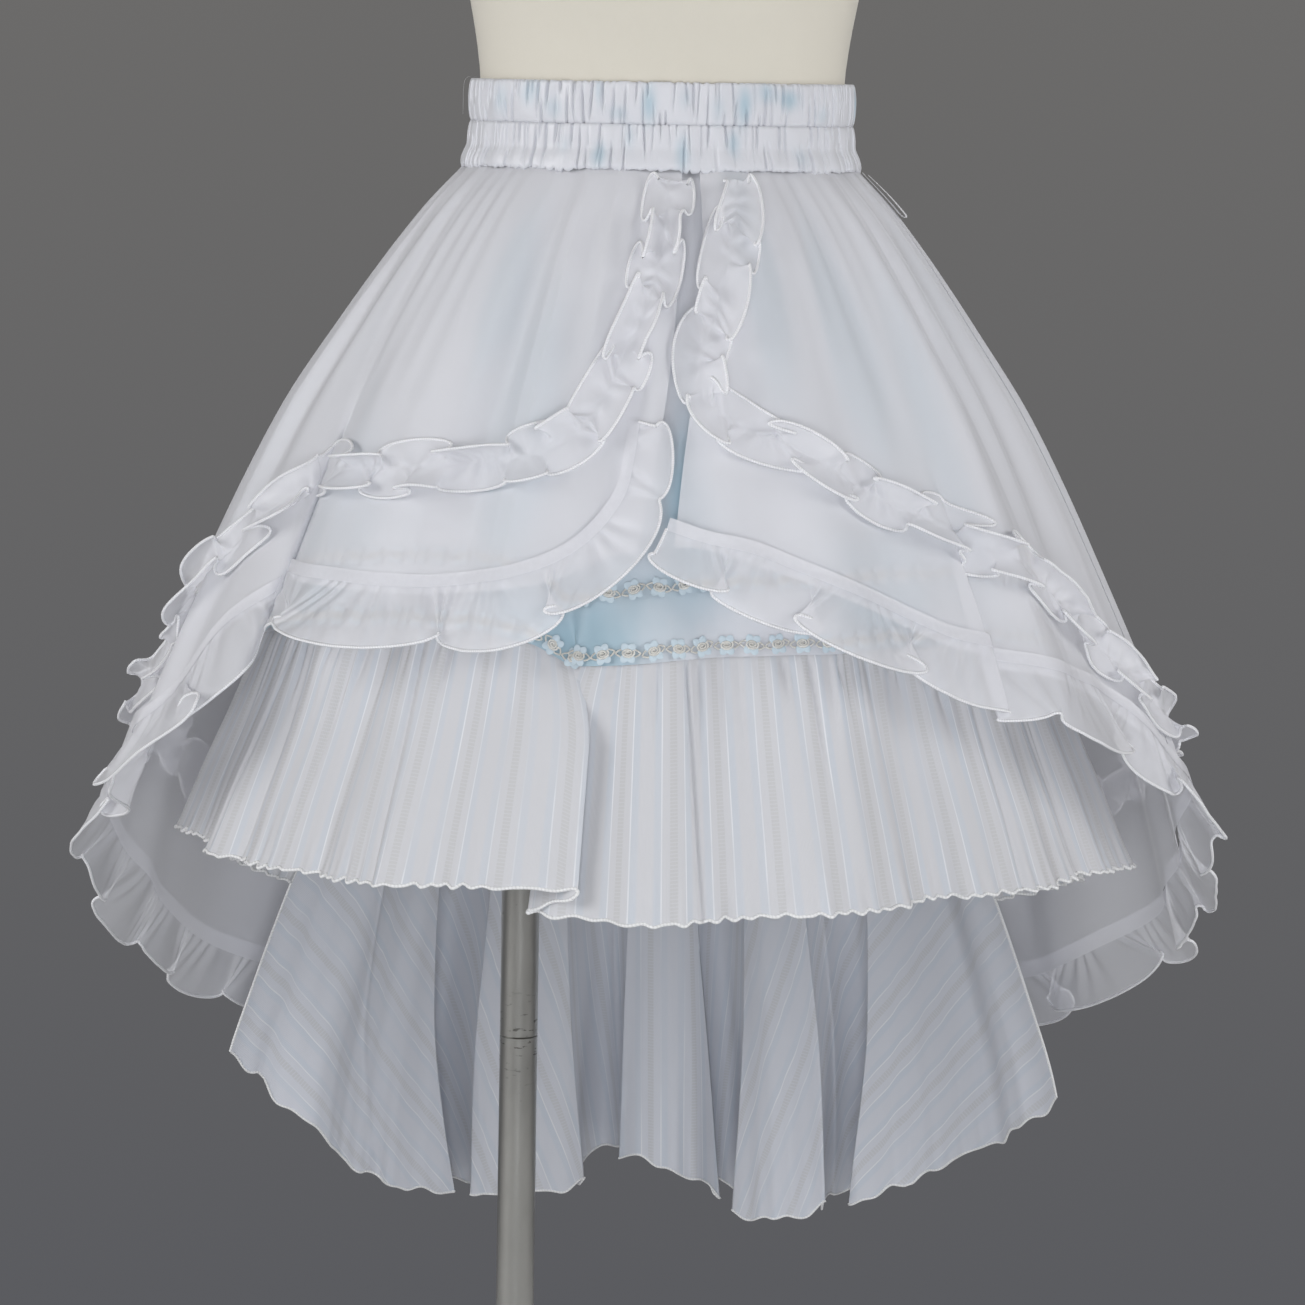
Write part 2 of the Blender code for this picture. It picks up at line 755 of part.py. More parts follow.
def build_flounces():
    """The gathered striped flounce round the front and sides, and the long flared tail."""
    seam = level_curve(FLOUNCE_SEAM)
    pieces = {
        "flounce_front": (-TAIL_EDGE, TAIL_EDGE, 107, 4, FLOUNCE_WAVES, FLOUNCE_HEM),
        "flounce_tail": (TAIL_EDGE, 360.0 - TAIL_EDGE, 58, 7, TAIL_WAVES, TAIL_HEM),
    }
    for name, (start, end, columns, rows, waves, hem_rows) in pieces.items():
        loft = FlounceLoft(SKIRT_SECTIONS, seam, waves)
        hem = level_curve(hem_rows)
        angles = spread(start, end, columns)
        grid = panel_grid(loft, angles, lambda a: seam.at(seam_angle(a)), hem.at, rows)
        skirt = SkirtLoft(SKIRT_SECTIONS)
        for c, angle in enumerate(angles):
            drop = seam.at(seam_angle(angle)) + FLOUNCE_GAP
            top = seam_point(skirt, seam, angle, drop)
            grid[0][c] = top + (grid[0][c] - loft.point(angle, drop - FLOUNCE_GAP))
        add_cloth(name, grid, CLOTH, "striped_dobby")


def build_overskirt():
    """Sheer front panels that part at the centre, and the bustle panel round the back."""
    loft = OverskirtLoft(OVERSKIRT_SECTIONS)
    hem = level_curve(OVERSKIRT_HEM)
    drops = [row.drop for row in FRONT_OPENING]
    edges = {
        "overskirt_left": (SmoothCurve(drops, [row.left for row in FRONT_OPENING]), -1),
        "overskirt_right": (SmoothCurve(drops, [row.right for row in FRONT_OPENING]), 1),
    }
    for name, (edge, side) in edges.items():
        grid = []
        for share_down in spread(0.0, 1.0, 9):
            row = []
            for share_out in spread(0.0, 1.0, 20):
                low_angle = edge.at(0.29) + (side * OVERSKIRT_SEAM - edge.at(0.29)) * share_out
                drop = SKIRT_TOP + (hem.at(low_angle) - SKIRT_TOP) * share_down
                seam = side * (OVERSKIRT_SEAM - seam_step(loft, side * OVERSKIRT_SEAM, drop))
                row.append(loft.point(edge.at(drop) + (seam - edge.at(drop)) * share_out, drop))
            grid.append(row)
        add_cloth(name, grid, ORGANZA, "organza")
    angles = spread(OVERSKIRT_SEAM, 360.0 - OVERSKIRT_SEAM, 45)
    grid = panel_grid(loft, angles, lambda a: SKIRT_TOP, lambda a: hem.at(seam_angle(a)), 10)
    add_cloth("overskirt_back", grid, ORGANZA, "organza")


def round_the_back(left, right):
    """One stitching line from the left front round the back to the right front."""
    return left + tuple(row._replace(angle=row.angle - 360.0) for row in reversed(right[:-1]))


def along_line(loft, line, samples):
    """Evenly spaced stitches along a line, by its length on the cloth."""
    places = [loft.point(row.angle, row.drop) for row in line]
    lengths = [0.0]
    for here, there in zip(places, places[1:]):
        lengths.append(lengths[-1] + (there - here).length)
    curves = [SmoothCurve(lengths, column) for column in zip(*line)]
    return [Stitch(*(curve.at(s) for curve in curves)) for s in spread(0.0, lengths[-1], samples)]


def across_line(loft, line, i):
    """The step in angle and in drop that moves a metre inwards from a stitching line."""
    here = line[i]
    before = line[max(i - 1, 0)]
    after = line[min(i + 1, len(line) - 1)]
    nudge = 0.5
    span = loft.point(here.angle + nudge, here.drop) - loft.point(here.angle - nudge, here.drop)
    per_degree = span.length
    turn = (after.angle - before.angle) * per_degree
    along = Vector((turn, after.drop - before.drop)).normalized()
    return -along.y / per_degree, along.x


def frill_grid(loft, line, waves, rows):
    """Points of a frill along a stitching line on the overskirt.

    Each row gives a function from a stitch to its distance across the line and the height of its
    waves, and the phase of those waves.
    """
    stitches = along_line(loft, line, 4 * waves + 1)
    grid = []
    for shape, phase in rows:
        points = []
        for i, stitch in enumerate(stitches):
            turn_step, drop_step = across_line(loft, stitches, i)
            across, height = shape(stitch)
            crest = 0.5 - 0.5 * math.cos(math.pi * i / 2 + phase)
            across *= 0.92 + 0.16 * crest
            angle = stitch.angle + turn_step * across
            drop = stitch.drop + drop_step * across
            points.append(loft.point(angle, drop, FRILL_LIFT + stitch.lift + height * crest))
        grid.append(points)
    return grid


def build_frills():
    """The double-edged trim and the headed hem frill, each in one length round the back."""
    loft = OverskirtLoft(OVERSKIRT_SECTIONS)
    line = round_the_back(TRIM_LEFT, TRIM_RIGHT)
    line = [row._replace(reach=TRIM_REACH, height=TRIM_HEIGHT) for row in line]
    rows = (
        (lambda stitch: (stitch.reach, stitch.height), 0.4),
        (lambda stitch: (0.0, 0.0), 0.0),
        (lambda stitch: (-stitch.reach, stitch.height), 1.6),
    )
    add_cloth("frill_trim", frill_grid(loft, line, TRIM_WAVES, rows), ORGANZA, "frill_organza")
    rows = (
        (lambda stitch: (HEADING, 0.0), 0.0),
        (lambda stitch: (0.0, 0.0), 0.0),
        (lambda stitch: (-stitch.reach, stitch.height), 0.4),
    )
    line = round_the_back(HEM_LEFT, HEM_RIGHT)
    add_cloth("frill_hem", frill_grid(loft, line, HEM_WAVES, rows), ORGANZA, "frill_organza")


def build_hanger_loops():
    """Narrow ribbon loops: one over the waistband at the left, one below it at the right."""
    loops = (
        ("hanger_loop_left", Loft(FORM_SECTIONS), LEFT_LOOP_ANGLE, LEFT_LOOP),
        ("hanger_loop_right", OverskirtLoft(OVERSKIRT_SECTIONS), RIGHT_LOOP_ANGLE, RIGHT_LOOP),
    )
    for name, loft, angle, path in loops:
        half = math.degrees(LOOP_WIDTH / 2 / loft.point(angle, path[0].drop).xy.length)
        grid = []
        for bend in path:
            ends = [loft.point(angle + side * half, bend.drop, bend.outward) for side in (-1, 1)]
            grid.append(ends)
        add_cloth(name, grid, LOOP_WALL, "ribbon")


def main():
    """Clears the scene and builds the form, its stand and the skirt."""
    for leftover in list(bpy.data.objects):
        bpy.data.objects.remove(leftover)
    build_stand()
    build_form()
    build_waistband()
    build_underskirt()
    build_flounces()
    build_overskirt()
    build_frills()
    build_hanger_loops()


main()
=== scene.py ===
"""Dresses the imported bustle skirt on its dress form: fine cloth, frills, braid, stand and studio.

Angles go round the body in degrees, 0 at the front and growing towards +X. A drop is the distance
below the waistband's top edge. Everything else is in metres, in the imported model's frame.
"""

import json
import logging
import math
from dataclasses import dataclass
from enum import Enum
from typing import NamedTuple, Optional, Sequence

import bpy
import numpy as np
from mathutils import Matrix, Vector

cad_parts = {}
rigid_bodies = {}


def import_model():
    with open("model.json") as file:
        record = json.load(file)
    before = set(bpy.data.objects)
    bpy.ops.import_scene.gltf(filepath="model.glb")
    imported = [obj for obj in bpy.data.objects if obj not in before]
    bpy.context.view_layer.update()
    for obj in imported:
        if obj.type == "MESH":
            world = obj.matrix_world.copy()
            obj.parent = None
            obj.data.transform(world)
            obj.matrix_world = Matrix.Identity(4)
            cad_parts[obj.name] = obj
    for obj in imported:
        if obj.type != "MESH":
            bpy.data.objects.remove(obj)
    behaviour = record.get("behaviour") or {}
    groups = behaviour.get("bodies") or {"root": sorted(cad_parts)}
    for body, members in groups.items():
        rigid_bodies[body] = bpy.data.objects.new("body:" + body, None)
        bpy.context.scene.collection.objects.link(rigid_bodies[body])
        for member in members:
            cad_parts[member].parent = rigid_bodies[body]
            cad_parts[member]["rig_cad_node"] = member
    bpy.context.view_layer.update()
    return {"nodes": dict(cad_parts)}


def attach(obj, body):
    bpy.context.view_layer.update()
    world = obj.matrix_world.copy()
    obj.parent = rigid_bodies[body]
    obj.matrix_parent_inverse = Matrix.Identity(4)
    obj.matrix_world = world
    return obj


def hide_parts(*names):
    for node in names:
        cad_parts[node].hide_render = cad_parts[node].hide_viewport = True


log = logging.getLogger("bustle_skirt")

BODY = "root"
CLOTH_MAP = "cloth"  # the UV map that measures the flat cloth in metres
PRINT_CLOUD = "print_cloud"  # the vertex attribute that holds how blue the printed satin is

WAIST_HEIGHT = 1.040
SEAM_GAP = 0.0003
PANEL_GAP = 0.1  # how far two panels stop short of their common seam, in degrees
CASING_HEIGHT = 0.0265
CASING_EASE = 0.0005
SKIRT_TOP = 2 * CASING_HEIGHT + 2 * SEAM_GAP + 0.0006
SIDE_SEAM = 90.0
OVERSKIRT_SEAM = 80.0
TAIL_EDGE = 132.5
FRILL_LIFT = 0.0027
FRILL_GATHERING = 1.7  # the frill's cloth for one metre of stitching
HEADING = 0.007
CORD_RADIUS = 0.0010
FRONT_OVERLOCK = 0.0011  # the radii of the flounces' overlocked edges
TAIL_OVERLOCK = 0.0009
BRAID_LIFT = 0.0016  # how far the braid's cord lies outside the satin
SKIRT_FOLD = 0.0028  # the heights of irregular folds and ripples
OVERSKIRT_FOLD = 0.0042
FLOUNCE_FOLD = 0.0014
FLOUNCE_PLEAT = 0.0012
FLOUNCE_ROLL = 0.0012
TAIL_ROLL = 0.0016
TAIL_JAG = 0.0026  # how far the tail's hem rises and falls with its rolls
TAIL_RAG = 0.0020  # and with its broader ripples
CLOUD_STRENGTH = 0.55  # how blue a patch of strength 1 is at its middle
PUCKER_JITTER = 0.45  # how far a fold strays from its even place, as a share of the spacing
LOOP_WIDTH = 0.0035
POLE_JOINT = 0.413
SEWN_IN = 0.004  # how far the flounce reaches up behind the satin
TAIL_FAN = 60.0  # the tail is cut as a ring sector, this far to either side of its middle
TAIL_INNER_RADIUS = 0.218
TAIL_DEGREE = 0.0074  # the length of the tail's plain hem for one degree
TAIL_UNDERCUT = 1.5  # how far a fold's hollow reaches behind the lobes beside it, in degrees

Array = np.ndarray
Triple = tuple[float, float, float]


class Section(NamedTuple):
    """Half widths of a half-oval section at one drop."""

    drop: float
    half_width: float
    front: float
    back: float


class Level(NamedTuple):
    """The drop of a seam or hem at one angle."""

    angle: float
    drop: float


class Stitch(NamedTuple):
    """One point of a frill's stitching line and the frill's size there."""

    angle: float
    drop: float
    reach: float = 0.018
    height: float = 0.009
    lift: float = 0.0


class Tuck(NamedTuple):
    """A fold where the cloth turns back over itself."""

    angle: float
    width: float
    overlap: float
    depth: float
    start: float
    full: float


class Recess(NamedTuple):
    """A deep fold of the tail at its hem, and the lobe of cloth before it.

    Attributes:
        angle: the direction of the fold's mouth.
        depth: how far back the fold reaches.
        mouth: half the mouth's width in degrees.
        forward: how far the lobe before it hangs inside the plain surface.
    """

    angle: float
    depth: float
    mouth: float
    forward: float


class Opening(NamedTuple):
    """The angles of the overskirt's two front edges at one drop."""

    drop: float
    left: float
    right: float


class Wave(NamedTuple):
    """Regular waves that grow from a gathered seam towards a hem.

    Attributes:
        count: how many waves there are all round.
        phase: where the first one stands, in radians.
        wander: how far they stray from even spacing, in radians.
        start: their height at the seam.
        growth: what the height gains over the drop named beside the table.
    """

    count: int
    phase: float
    wander: float
    start: float
    growth: float


class Bulge(NamedTuple):
    """A broad rounded lobe, or with a negative rise a hollow, of the cloth."""

    angle: float
    rise: float
    width: float


class Cut(NamedTuple):
    """A sheet's flat size and, where it isn't a plain rectangle, its area."""

    width: float
    length: float
    area: Optional[float] = None


class Lamp(NamedTuple):
    """A square softbox: its place, the length of its side, its power in watts and its tint."""

    name: str
    place: Triple
    size: float
    power: float
    tint: Triple = (1.0, 1.0, 1.0)


class Cloud(NamedTuple):
    """A soft blue patch of the print."""

    angle: float
    drop: float
    width: float
    height: float
    strength: float


class LoopBend(NamedTuple):
    """One bend of a hanger loop: its drop and its distance out from the surface it hangs on."""

    drop: float
    outward: float


def table(kind: type, *rows: Sequence[float]) -> tuple:
    """Rows of plain numbers, each as a named tuple of one kind."""
    return tuple(kind(*row) for row in rows)


FORM_SECTIONS = table(
    Section,
    (-0.440, 0.052, 0.050, 0.052), (-0.395, 0.055, 0.053, 0.055), (-0.375, 0.066, 0.058, 0.060),
    (-0.360, 0.100, 0.063, 0.068), (-0.345, 0.140, 0.067, 0.076), (-0.325, 0.168, 0.072, 0.083),
    (-0.300, 0.180, 0.080, 0.090), (-0.260, 0.172, 0.098, 0.096), (-0.210, 0.160, 0.116, 0.098),
    (-0.160, 0.150, 0.124, 0.094), (-0.110, 0.138, 0.114, 0.090), (-0.052, 0.125, 0.098, 0.087),
    (-0.020, 0.1195, 0.0905, 0.0857), (0.000, 0.1175, 0.088, 0.085), (0.056, 0.1175, 0.088, 0.085),
    (0.085, 0.128, 0.097, 0.095), (0.120, 0.143, 0.106, 0.110), (0.160, 0.154, 0.110, 0.120),
    (0.200, 0.158, 0.108, 0.122), (0.240, 0.156, 0.102, 0.116), (0.270, 0.148, 0.094, 0.106),
    (0.285, 0.136, 0.084, 0.095),
)
SKIRT_SECTIONS = table(
    Section,
    (SKIRT_TOP, 0.1215, 0.0925, 0.0905), (0.078, 0.138, 0.110, 0.106),
    (0.104, 0.151, 0.126, 0.124), (0.130, 0.163, 0.140, 0.142), (0.156, 0.174, 0.153, 0.158),
    (0.208, 0.194, 0.176, 0.187), (0.260, 0.212, 0.199, 0.212), (0.312, 0.230, 0.222, 0.237),
    (0.345, 0.242, 0.235, 0.250), (0.400, 0.262, 0.253, 0.272), (0.450, 0.283, 0.270, 0.290),
    (0.500, 0.303, 0.287, 0.305), (0.570, 0.342, 0.305, 0.322), (0.640, 0.376, 0.318, 0.336),
    (0.700, 0.402, 0.328, 0.346), (0.820, 0.432, 0.342, 0.362),
)
OVERSKIRT_SECTIONS = table(
    Section,
    (SKIRT_TOP, 0.1255, 0.0965, 0.0945), (0.078, 0.147, 0.118, 0.119),
    (0.104, 0.167, 0.137, 0.145), (0.130, 0.185, 0.153, 0.167), (0.156, 0.202, 0.167, 0.188),
    (0.208, 0.235, 0.191, 0.225), (0.260, 0.262, 0.215, 0.257), (0.312, 0.286, 0.239, 0.288),
    (0.364, 0.309, 0.262, 0.316), (0.416, 0.331, 0.283, 0.340), (0.468, 0.349, 0.300, 0.359),
    (0.550, 0.370, 0.322, 0.383), (0.640, 0.389, 0.340, 0.401), (0.760, 0.407, 0.356, 0.413),
)
FLOUNCE_SEAM = table(
    Level,
    (-180, 0.410), (-134, 0.395), (-90, 0.362), (-50, 0.340), (-28, 0.335), (-19, 0.340),
    (-13, 0.357), (-7, 0.352), (5, 0.347), (25, 0.344), (50, 0.345), (90, 0.365), (134, 0.395),
    (180, 0.410),
)
FLOUNCE_HEM = table(
    Level,
    (-134, 0.568), (-110, 0.520), (-90, 0.492), (-41, 0.488), (-15, 0.482), (-9, 0.498),
    (0, 0.500), (24, 0.494), (46, 0.493), (90, 0.506), (110, 0.530), (134, 0.570),
)
TAIL_HEM = table(
    Level,
    (132.5, 0.715), (140, 0.748), (148, 0.776), (155, 0.803), (162, 0.818), (170, 0.828),
    (175, 0.806), (181, 0.790), (187, 0.808), (195, 0.812), (202, 0.811), (209, 0.793),
    (217, 0.753), (227.5, 0.690),
)
TAIL_RECESSES = table(
    Recess,
    (160.0, 0.050, 1.1, 0.010), (171.8, 0.040, 0.7, 0.021), (184.2, 0.056, 1.7, 0.004),
    (198.5, 0.042, 0.8, 0.007), (227.5, 0.0, 0.0, 0.016),
)
OVERSKIRT_HEM = table(
    Level,
    (-180, 0.700), (-137, 0.640), (-107, 0.540), (-88, 0.458), (-76, 0.425), (-68, 0.392),
    (-60, 0.330), (-52, 0.312), (-31, 0.313), (-14, 0.303), (-4, 0.284), (4, 0.280), (15, 0.293),
    (27, 0.315), (42, 0.347), (55, 0.366), (68, 0.389), (78, 0.430), (90, 0.478), (107, 0.545),
    (137, 0.640), (180, 0.700),
)
FRONT_OPENING = table(
    Opening,
    (SKIRT_TOP, 6.0, 11.0), (0.150, 3.0, 7.5), (0.230, 0.0, 4.0), (0.300, -3.0, 2.0),
)
TRIM_LEFT = table(
    Stitch,
    (2.2, 0.060), (1.6, 0.080), (0.2, 0.105), (-2.4, 0.140), (-5.8, 0.168), (-8.0, 0.190),
    (-11.0, 0.210), (-17, 0.226), (-26, 0.233), (-37, 0.238), (-54, 0.245), (-66, 0.283),
    (-77, 0.335), (-88, 0.384), (-107, 0.445), (-137, 0.535), (-180, 0.590),
)
TRIM_RIGHT = table(
    Stitch,
    (21, 0.060), (18, 0.080), (14.5, 0.105), (10.6, 0.140), (7.2, 0.168), (7.6, 0.190),
    (12, 0.207), (20, 0.220), (28, 0.241), (41, 0.269), (54, 0.295), (66, 0.337), (82, 0.400),
    (107, 0.450), (137, 0.535), (180, 0.590),
)
HEM_LEFT = table(
    Stitch,
    (-2.6, 0.206, 0.022, 0.004), (-3.0, 0.222, 0.026, 0.005), (-3.8, 0.244, 0.027, 0.005),
    (-6.5, 0.266, 0.028, 0.005), (-12, 0.288, 0.034, 0.009), (-20, 0.301, 0.040, 0.014),
    (-31, 0.308, 0.040, 0.014), (-52, 0.307, 0.040, 0.014), (-60, 0.325, 0.040, 0.014),
    (-68, 0.387, 0.040, 0.014), (-76, 0.420, 0.040, 0.014), (-88, 0.453, 0.040, 0.014),
    (-107, 0.535, 0.040, 0.014), (-137, 0.635, 0.040, 0.014), (-180, 0.695, 0.040, 0.014),
)
HEM_RIGHT = table(
    Stitch,
    (1.5, 0.268, 0.030, 0.008, 0.009), (6.0, 0.275, 0.032, 0.010, 0.007),
    (12, 0.281, 0.036, 0.012, 0.003), (18, 0.292, 0.040, 0.014), (27, 0.310, 0.040, 0.014),
    (42, 0.342, 0.040, 0.014), (55, 0.361, 0.040, 0.014), (68, 0.382, 0.040, 0.014),
    (78, 0.425, 0.040, 0.014), (90, 0.473, 0.040, 0.014), (107, 0.540, 0.040, 0.014),
    (137, 0.635, 0.040, 0.014), (180, 0.695, 0.040, 0.014),
)
LEFT_LOOP = table(
    LoopBend,
    (-0.0009, 0.0020), (-0.0012, 0.0060), (0.0010, 0.0098), (0.0100, 0.0109), (0.0230, 0.0109),
)
RIGHT_LOOP = table(
    LoopBend,
    (0.0560, 0.0022), (0.0700, 0.0026), (0.0820, 0.0028), (0.0845, 0.0045), (0.0820, 0.0062),
    (0.0700, 0.0060), (0.0575, 0.0046),
)
LOOP_ON = {"waistband_upper": "hanger_loop_left", "waistband_lower": "hanger_loop_right"}
LEFT_LOOP_ANGLE = -86.0
RIGHT_LOOP_ANGLE = 84.0

SKIRT_TUCKS = table(Tuck, (-11.5, 4.5, 14.0, 0.028, 0.300, 0.400))
OVERSKIRT_TUCKS = table(
    Tuck, (-57.0, 4.0, 7.5, 0.012, 0.150, 0.300), (44.0, 3.2, 6.2, 0.011, 0.200, 0.330)
)
SKIRT_VALLEYS = table(Bulge, (34.0, -0.009, 4.5), (62.0, -0.010, 5.0), (-58.0, -0.010, 5.0))
FLOUNCE_LOBES = table(Bulge, (-4.2, -0.012, 2.2), (-17.0, 0.006, 3.5), (3.0, 0.003, 4.0))
SKIRT_WAVE = Wave(12, 0.6, 0.5, 0.0008, 0.0057)  # over SKIRT_DROP
OVERSKIRT_WAVE = Wave(12, 2.1, 0.7, 0.0010, 0.0055)  # over OVERSKIRT_DROP
FLOUNCE_WAVE = Wave(32, 0.3, 1.3, 0.0, 0.0050)  # over FLOUNCE_FALL, below the seam
TAIL_WAVE = Wave(35, 1.1, 1.2, 0.0, 0.0050)  # over TAIL_FALL, below the seam
SKIRT_DROP = 0.400
OVERSKIRT_DROP = 0.420
FLOUNCE_FALL = 0.150
TAIL_FALL = 0.390
CUTS = {
    "waistband_upper": Cut(1.05, 0.036),
    "waistband_lower": Cut(1.05, 0.036),
    "underskirt_front": Cut(0.81, 0.34, 0.213),
    "underskirt_back": Cut(0.87, 0.405, 0.249),
    "flounce_front": Cut(1.60, 0.183, 0.252),
    "flounce_tail": Cut(1.03, 0.485, 0.318),
    "overskirt_left": Cut(0.48, 0.36, 0.130),
    "overskirt_right": Cut(0.46, 0.36, 0.124),
    "overskirt_back": Cut(1.50, 0.74, 0.730),
    "frill_trim": Cut(3.98, 0.036),
    "frill_hem": Cut(3.62, 0.040),
}
LAMPS = (
    Lamp("key", (-2.85, -1.35, 1.8), 1.9, 50.5),
    Lamp("fill", (2.85, -1.35, 1.7), 1.9, 46.5),
    Lamp("front", (0.0, -3.3, 1.5), 1.6, 5.5),
    Lamp("low", (0.0, -2.7, 0.60), 0.9, 24.0, (0.93, 0.96, 1.0)),
    Lamp("rear", (0.3, 1.9, 2.3), 1.2, 27.0),
)
MIRRORED_LAMPS = ("key", "front")  # the lamps that shine on the steel, too

CLOUDS = table(
    Cloud,
    (-12, 0.330, 16, 0.045, 1.0), (-26, 0.215, 6, 0.075, 1.9), (6, 0.245, 5, 0.060, 0.9),
    (27, 0.115, 4.5, 0.065, 2.4), (47, 0.160, 5, 0.060, 2.1), (40, 0.310, 10, 0.040, 1.4),
    (-40, 0.130, 6, 0.050, 1.7), (-70, 0.280, 16, 0.070, 1.3), (66, 0.220, 10, 0.090, 1.5),
    (105, 0.150, 20, 0.080, 0.8), (150, 0.260, 22, 0.080, 0.9), (-120, 0.180, 20, 0.080, 0.8),
    (-160, 0.320, 20, 0.060, 0.7),
)
BAND_CLOUDS = table(
    Cloud,
    (-62, 0.014, 3.8, 0.012, 0.56), (-50, 0.008, 4.4, 0.010, 0.56), (-40, 0.018, 4.4, 0.008, 0.50),
    (-24, 0.006, 1.9, 0.012, 0.62), (-17, 0.020, 4.4, 0.006, 0.43), (-5, 0.014, 3.2, 0.014, 0.74),
    (9, 0.010, 3.1, 0.008, 0.37), (21, 0.016, 3.1, 0.010, 0.37), (31, 0.014, 3.0, 0.014, 0.81),
    (39, 0.006, 4.0, 0.009, 0.74), (48, 0.010, 4.5, 0.008, 0.87), (62, 0.020, 3.8, 0.008, 0.50),
    (-36, 0.040, 3.1, 0.008, 0.37), (-23, 0.046, 3.5, 0.009, 0.74), (-12, 0.036, 2.5, 0.009, 0.37),
    (7.7, 0.044, 3.2, 0.014, 0.68), (27, 0.038, 2.8, 0.009, 0.62), (52, 0.046, 3.8, 0.008, 0.37),
    (88, 0.012, 5.0, 0.012, 0.68), (104, 0.038, 6.2, 0.010, 0.56), (121, 0.010, 5.0, 0.010, 0.74),
    (142, 0.020, 6.2, 0.012, 0.50), (160, 0.040, 5.0, 0.010, 0.68), (174, 0.012, 3.8, 0.014, 0.62),
    (-168, 0.020, 5.0, 0.010, 0.50), (-150, 0.044, 5.0, 0.010, 0.68),
    (-132, 0.010, 6.2, 0.012, 0.62), (-112, 0.034, 5.0, 0.012, 0.56),
    (-92, 0.016, 5.0, 0.010, 0.68),
)


class Curve:
    """A number that follows a short table smoothly and carries straight on past its ends."""

    def __init__(self, xs: Sequence[float], ys: Sequence[float]) -> None:
        """Works out the slopes at the table's points, without overshoot.

        Args:
            xs: the places, growing.
            ys: the values there.
        """
        self.xs = np.asarray(xs, float)
        self.ys = np.asarray(ys, float)
        steps = np.diff(self.xs)
        rises = np.diff(self.ys) / steps
        before, after = rises[:-1], rises[1:]
        weight_a = 2 * steps[1:] + steps[:-1]
        weight_b = steps[1:] + 2 * steps[:-1]
        turning = before * after <= 0
        safe_before = np.where(turning, 1.0, before)
        safe_after = np.where(turning, 1.0, after)
        mean = (weight_a + weight_b) / (weight_a / safe_before + weight_b / safe_after)
        self.slopes = np.concatenate([rises[:1], np.where(turning, 0.0, mean), rises[-1:]])

    def __call__(self, x: Array) -> Array:
        """The curve's values.

        Args:
            x: places, also beyond the table.

        Returns:
            The values at x.
        """
        x = np.asarray(x, float)
        i = np.clip(np.searchsorted(self.xs, x) - 1, 0, len(self.xs) - 2)
        step = self.xs[i + 1] - self.xs[i]
        free = (x - self.xs[i]) / step
        t = np.clip(free, 0.0, 1.0)
        start = self.ys[i] * (1 + 2 * t) * (1 - t) ** 2 + self.slopes[i] * step * t * (1 - t) ** 2
        end = self.ys[i + 1] * t * t * (3 - 2 * t)
        end = end + self.slopes[i + 1] * step * t * t * (t - 1)
        beyond = (free - t) * step * np.where(free < 0, self.slopes[i], self.slopes[i + 1])
        return start + end + beyond


class Ripple:
    """Irregular waves round the body, about `count` of them, between -1 and 1."""

    SPREAD = 0.3  # how far the parts' counts lie from the mean, as a share of it

    def __init__(self, count: int, seed: int) -> None:
        """Draws the phases and weights of five regular waves.

        Args:
            count: how many waves there are all round.
            seed: the random seed.
        """
        rng = np.random.default_rng(seed)
        steps = np.linspace(-self.SPREAD, self.SPREAD, 5)
        self.counts = [round(count * (1 + step)) for step in steps]
        self.phases = rng.uniform(0, 2 * math.pi, len(self.counts))
        self.weights = rng.uniform(0.5, 1.0, len(self.counts))
        self.weights /= np.sum(self.weights) * 0.62

    def __call__(self, angle: Array) -> Array:
        """The waves' height.

        Args:
            angle: directions in degrees.

        Returns:
            Heights from about -1 to 1.
        """
        turn = np.radians(angle)
        parts = zip(self.counts, self.phases, self.weights)
        return np.clip(sum(w * np.cos(n * turn + p) for n, p, w in parts), -1.2, 1.2)


GATHERS_WIDE = Ripple(30, 11)  # a number of waves all round and a random seed each
GATHERS_FINE = Ripple(58, 12)
OVERSKIRT_FOLDS = Ripple(22, 13)
SKIRT_FOLDS = Ripple(26, 14)
FLOUNCE_PLEATS = Ripple(120, 15)
FLOUNCE_FOLDS = Ripple(56, 16)
TAIL_FOLDS = Ripple(70, 17)
TAIL_SWELL = Ripple(13, 19)
FLOUNCE_SWELL = Ripple(11, 20)
ROLL = Ripple(150, 21)


def eased(value: Array, low: float, high: float) -> Array:
    """0 below low, 1 above high and a smooth step between them."""
    t = np.clip((np.asarray(value, float) - low) / (high - low), 0.0, 1.0)
    return t * t * (3 - 2 * t)


def seam_angle(angle: Array) -> Array:
    """The same directions as angles from -180 to 180."""
    return (np.asarray(angle, float) + 180.0) % 360.0 - 180.0


def level_curve(levels: Sequence[Level]) -> Curve:
    """The drop of a seam or hem as a curve over the angle."""
    return Curve([row.angle for row in levels], [row.drop for row in levels])


def wave_depth(wave: Wave, angle: Array, share: Array) -> Array:
    """The height of regular waves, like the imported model's own.

    Args:
        wave: the waves' table row.
        angle: directions in degrees.
        share: the share of the way down from the seam.

    Returns:
        Heights in metres.
    """
    turn = np.radians(angle)
    drift = wave.wander * (np.sin(2 * turn + wave.phase) + 0.6 * np.sin(5 * turn + 1.3))
    height = wave.start + wave.growth * share
    return height * np.cos(wave.count * turn + wave.phase + drift)


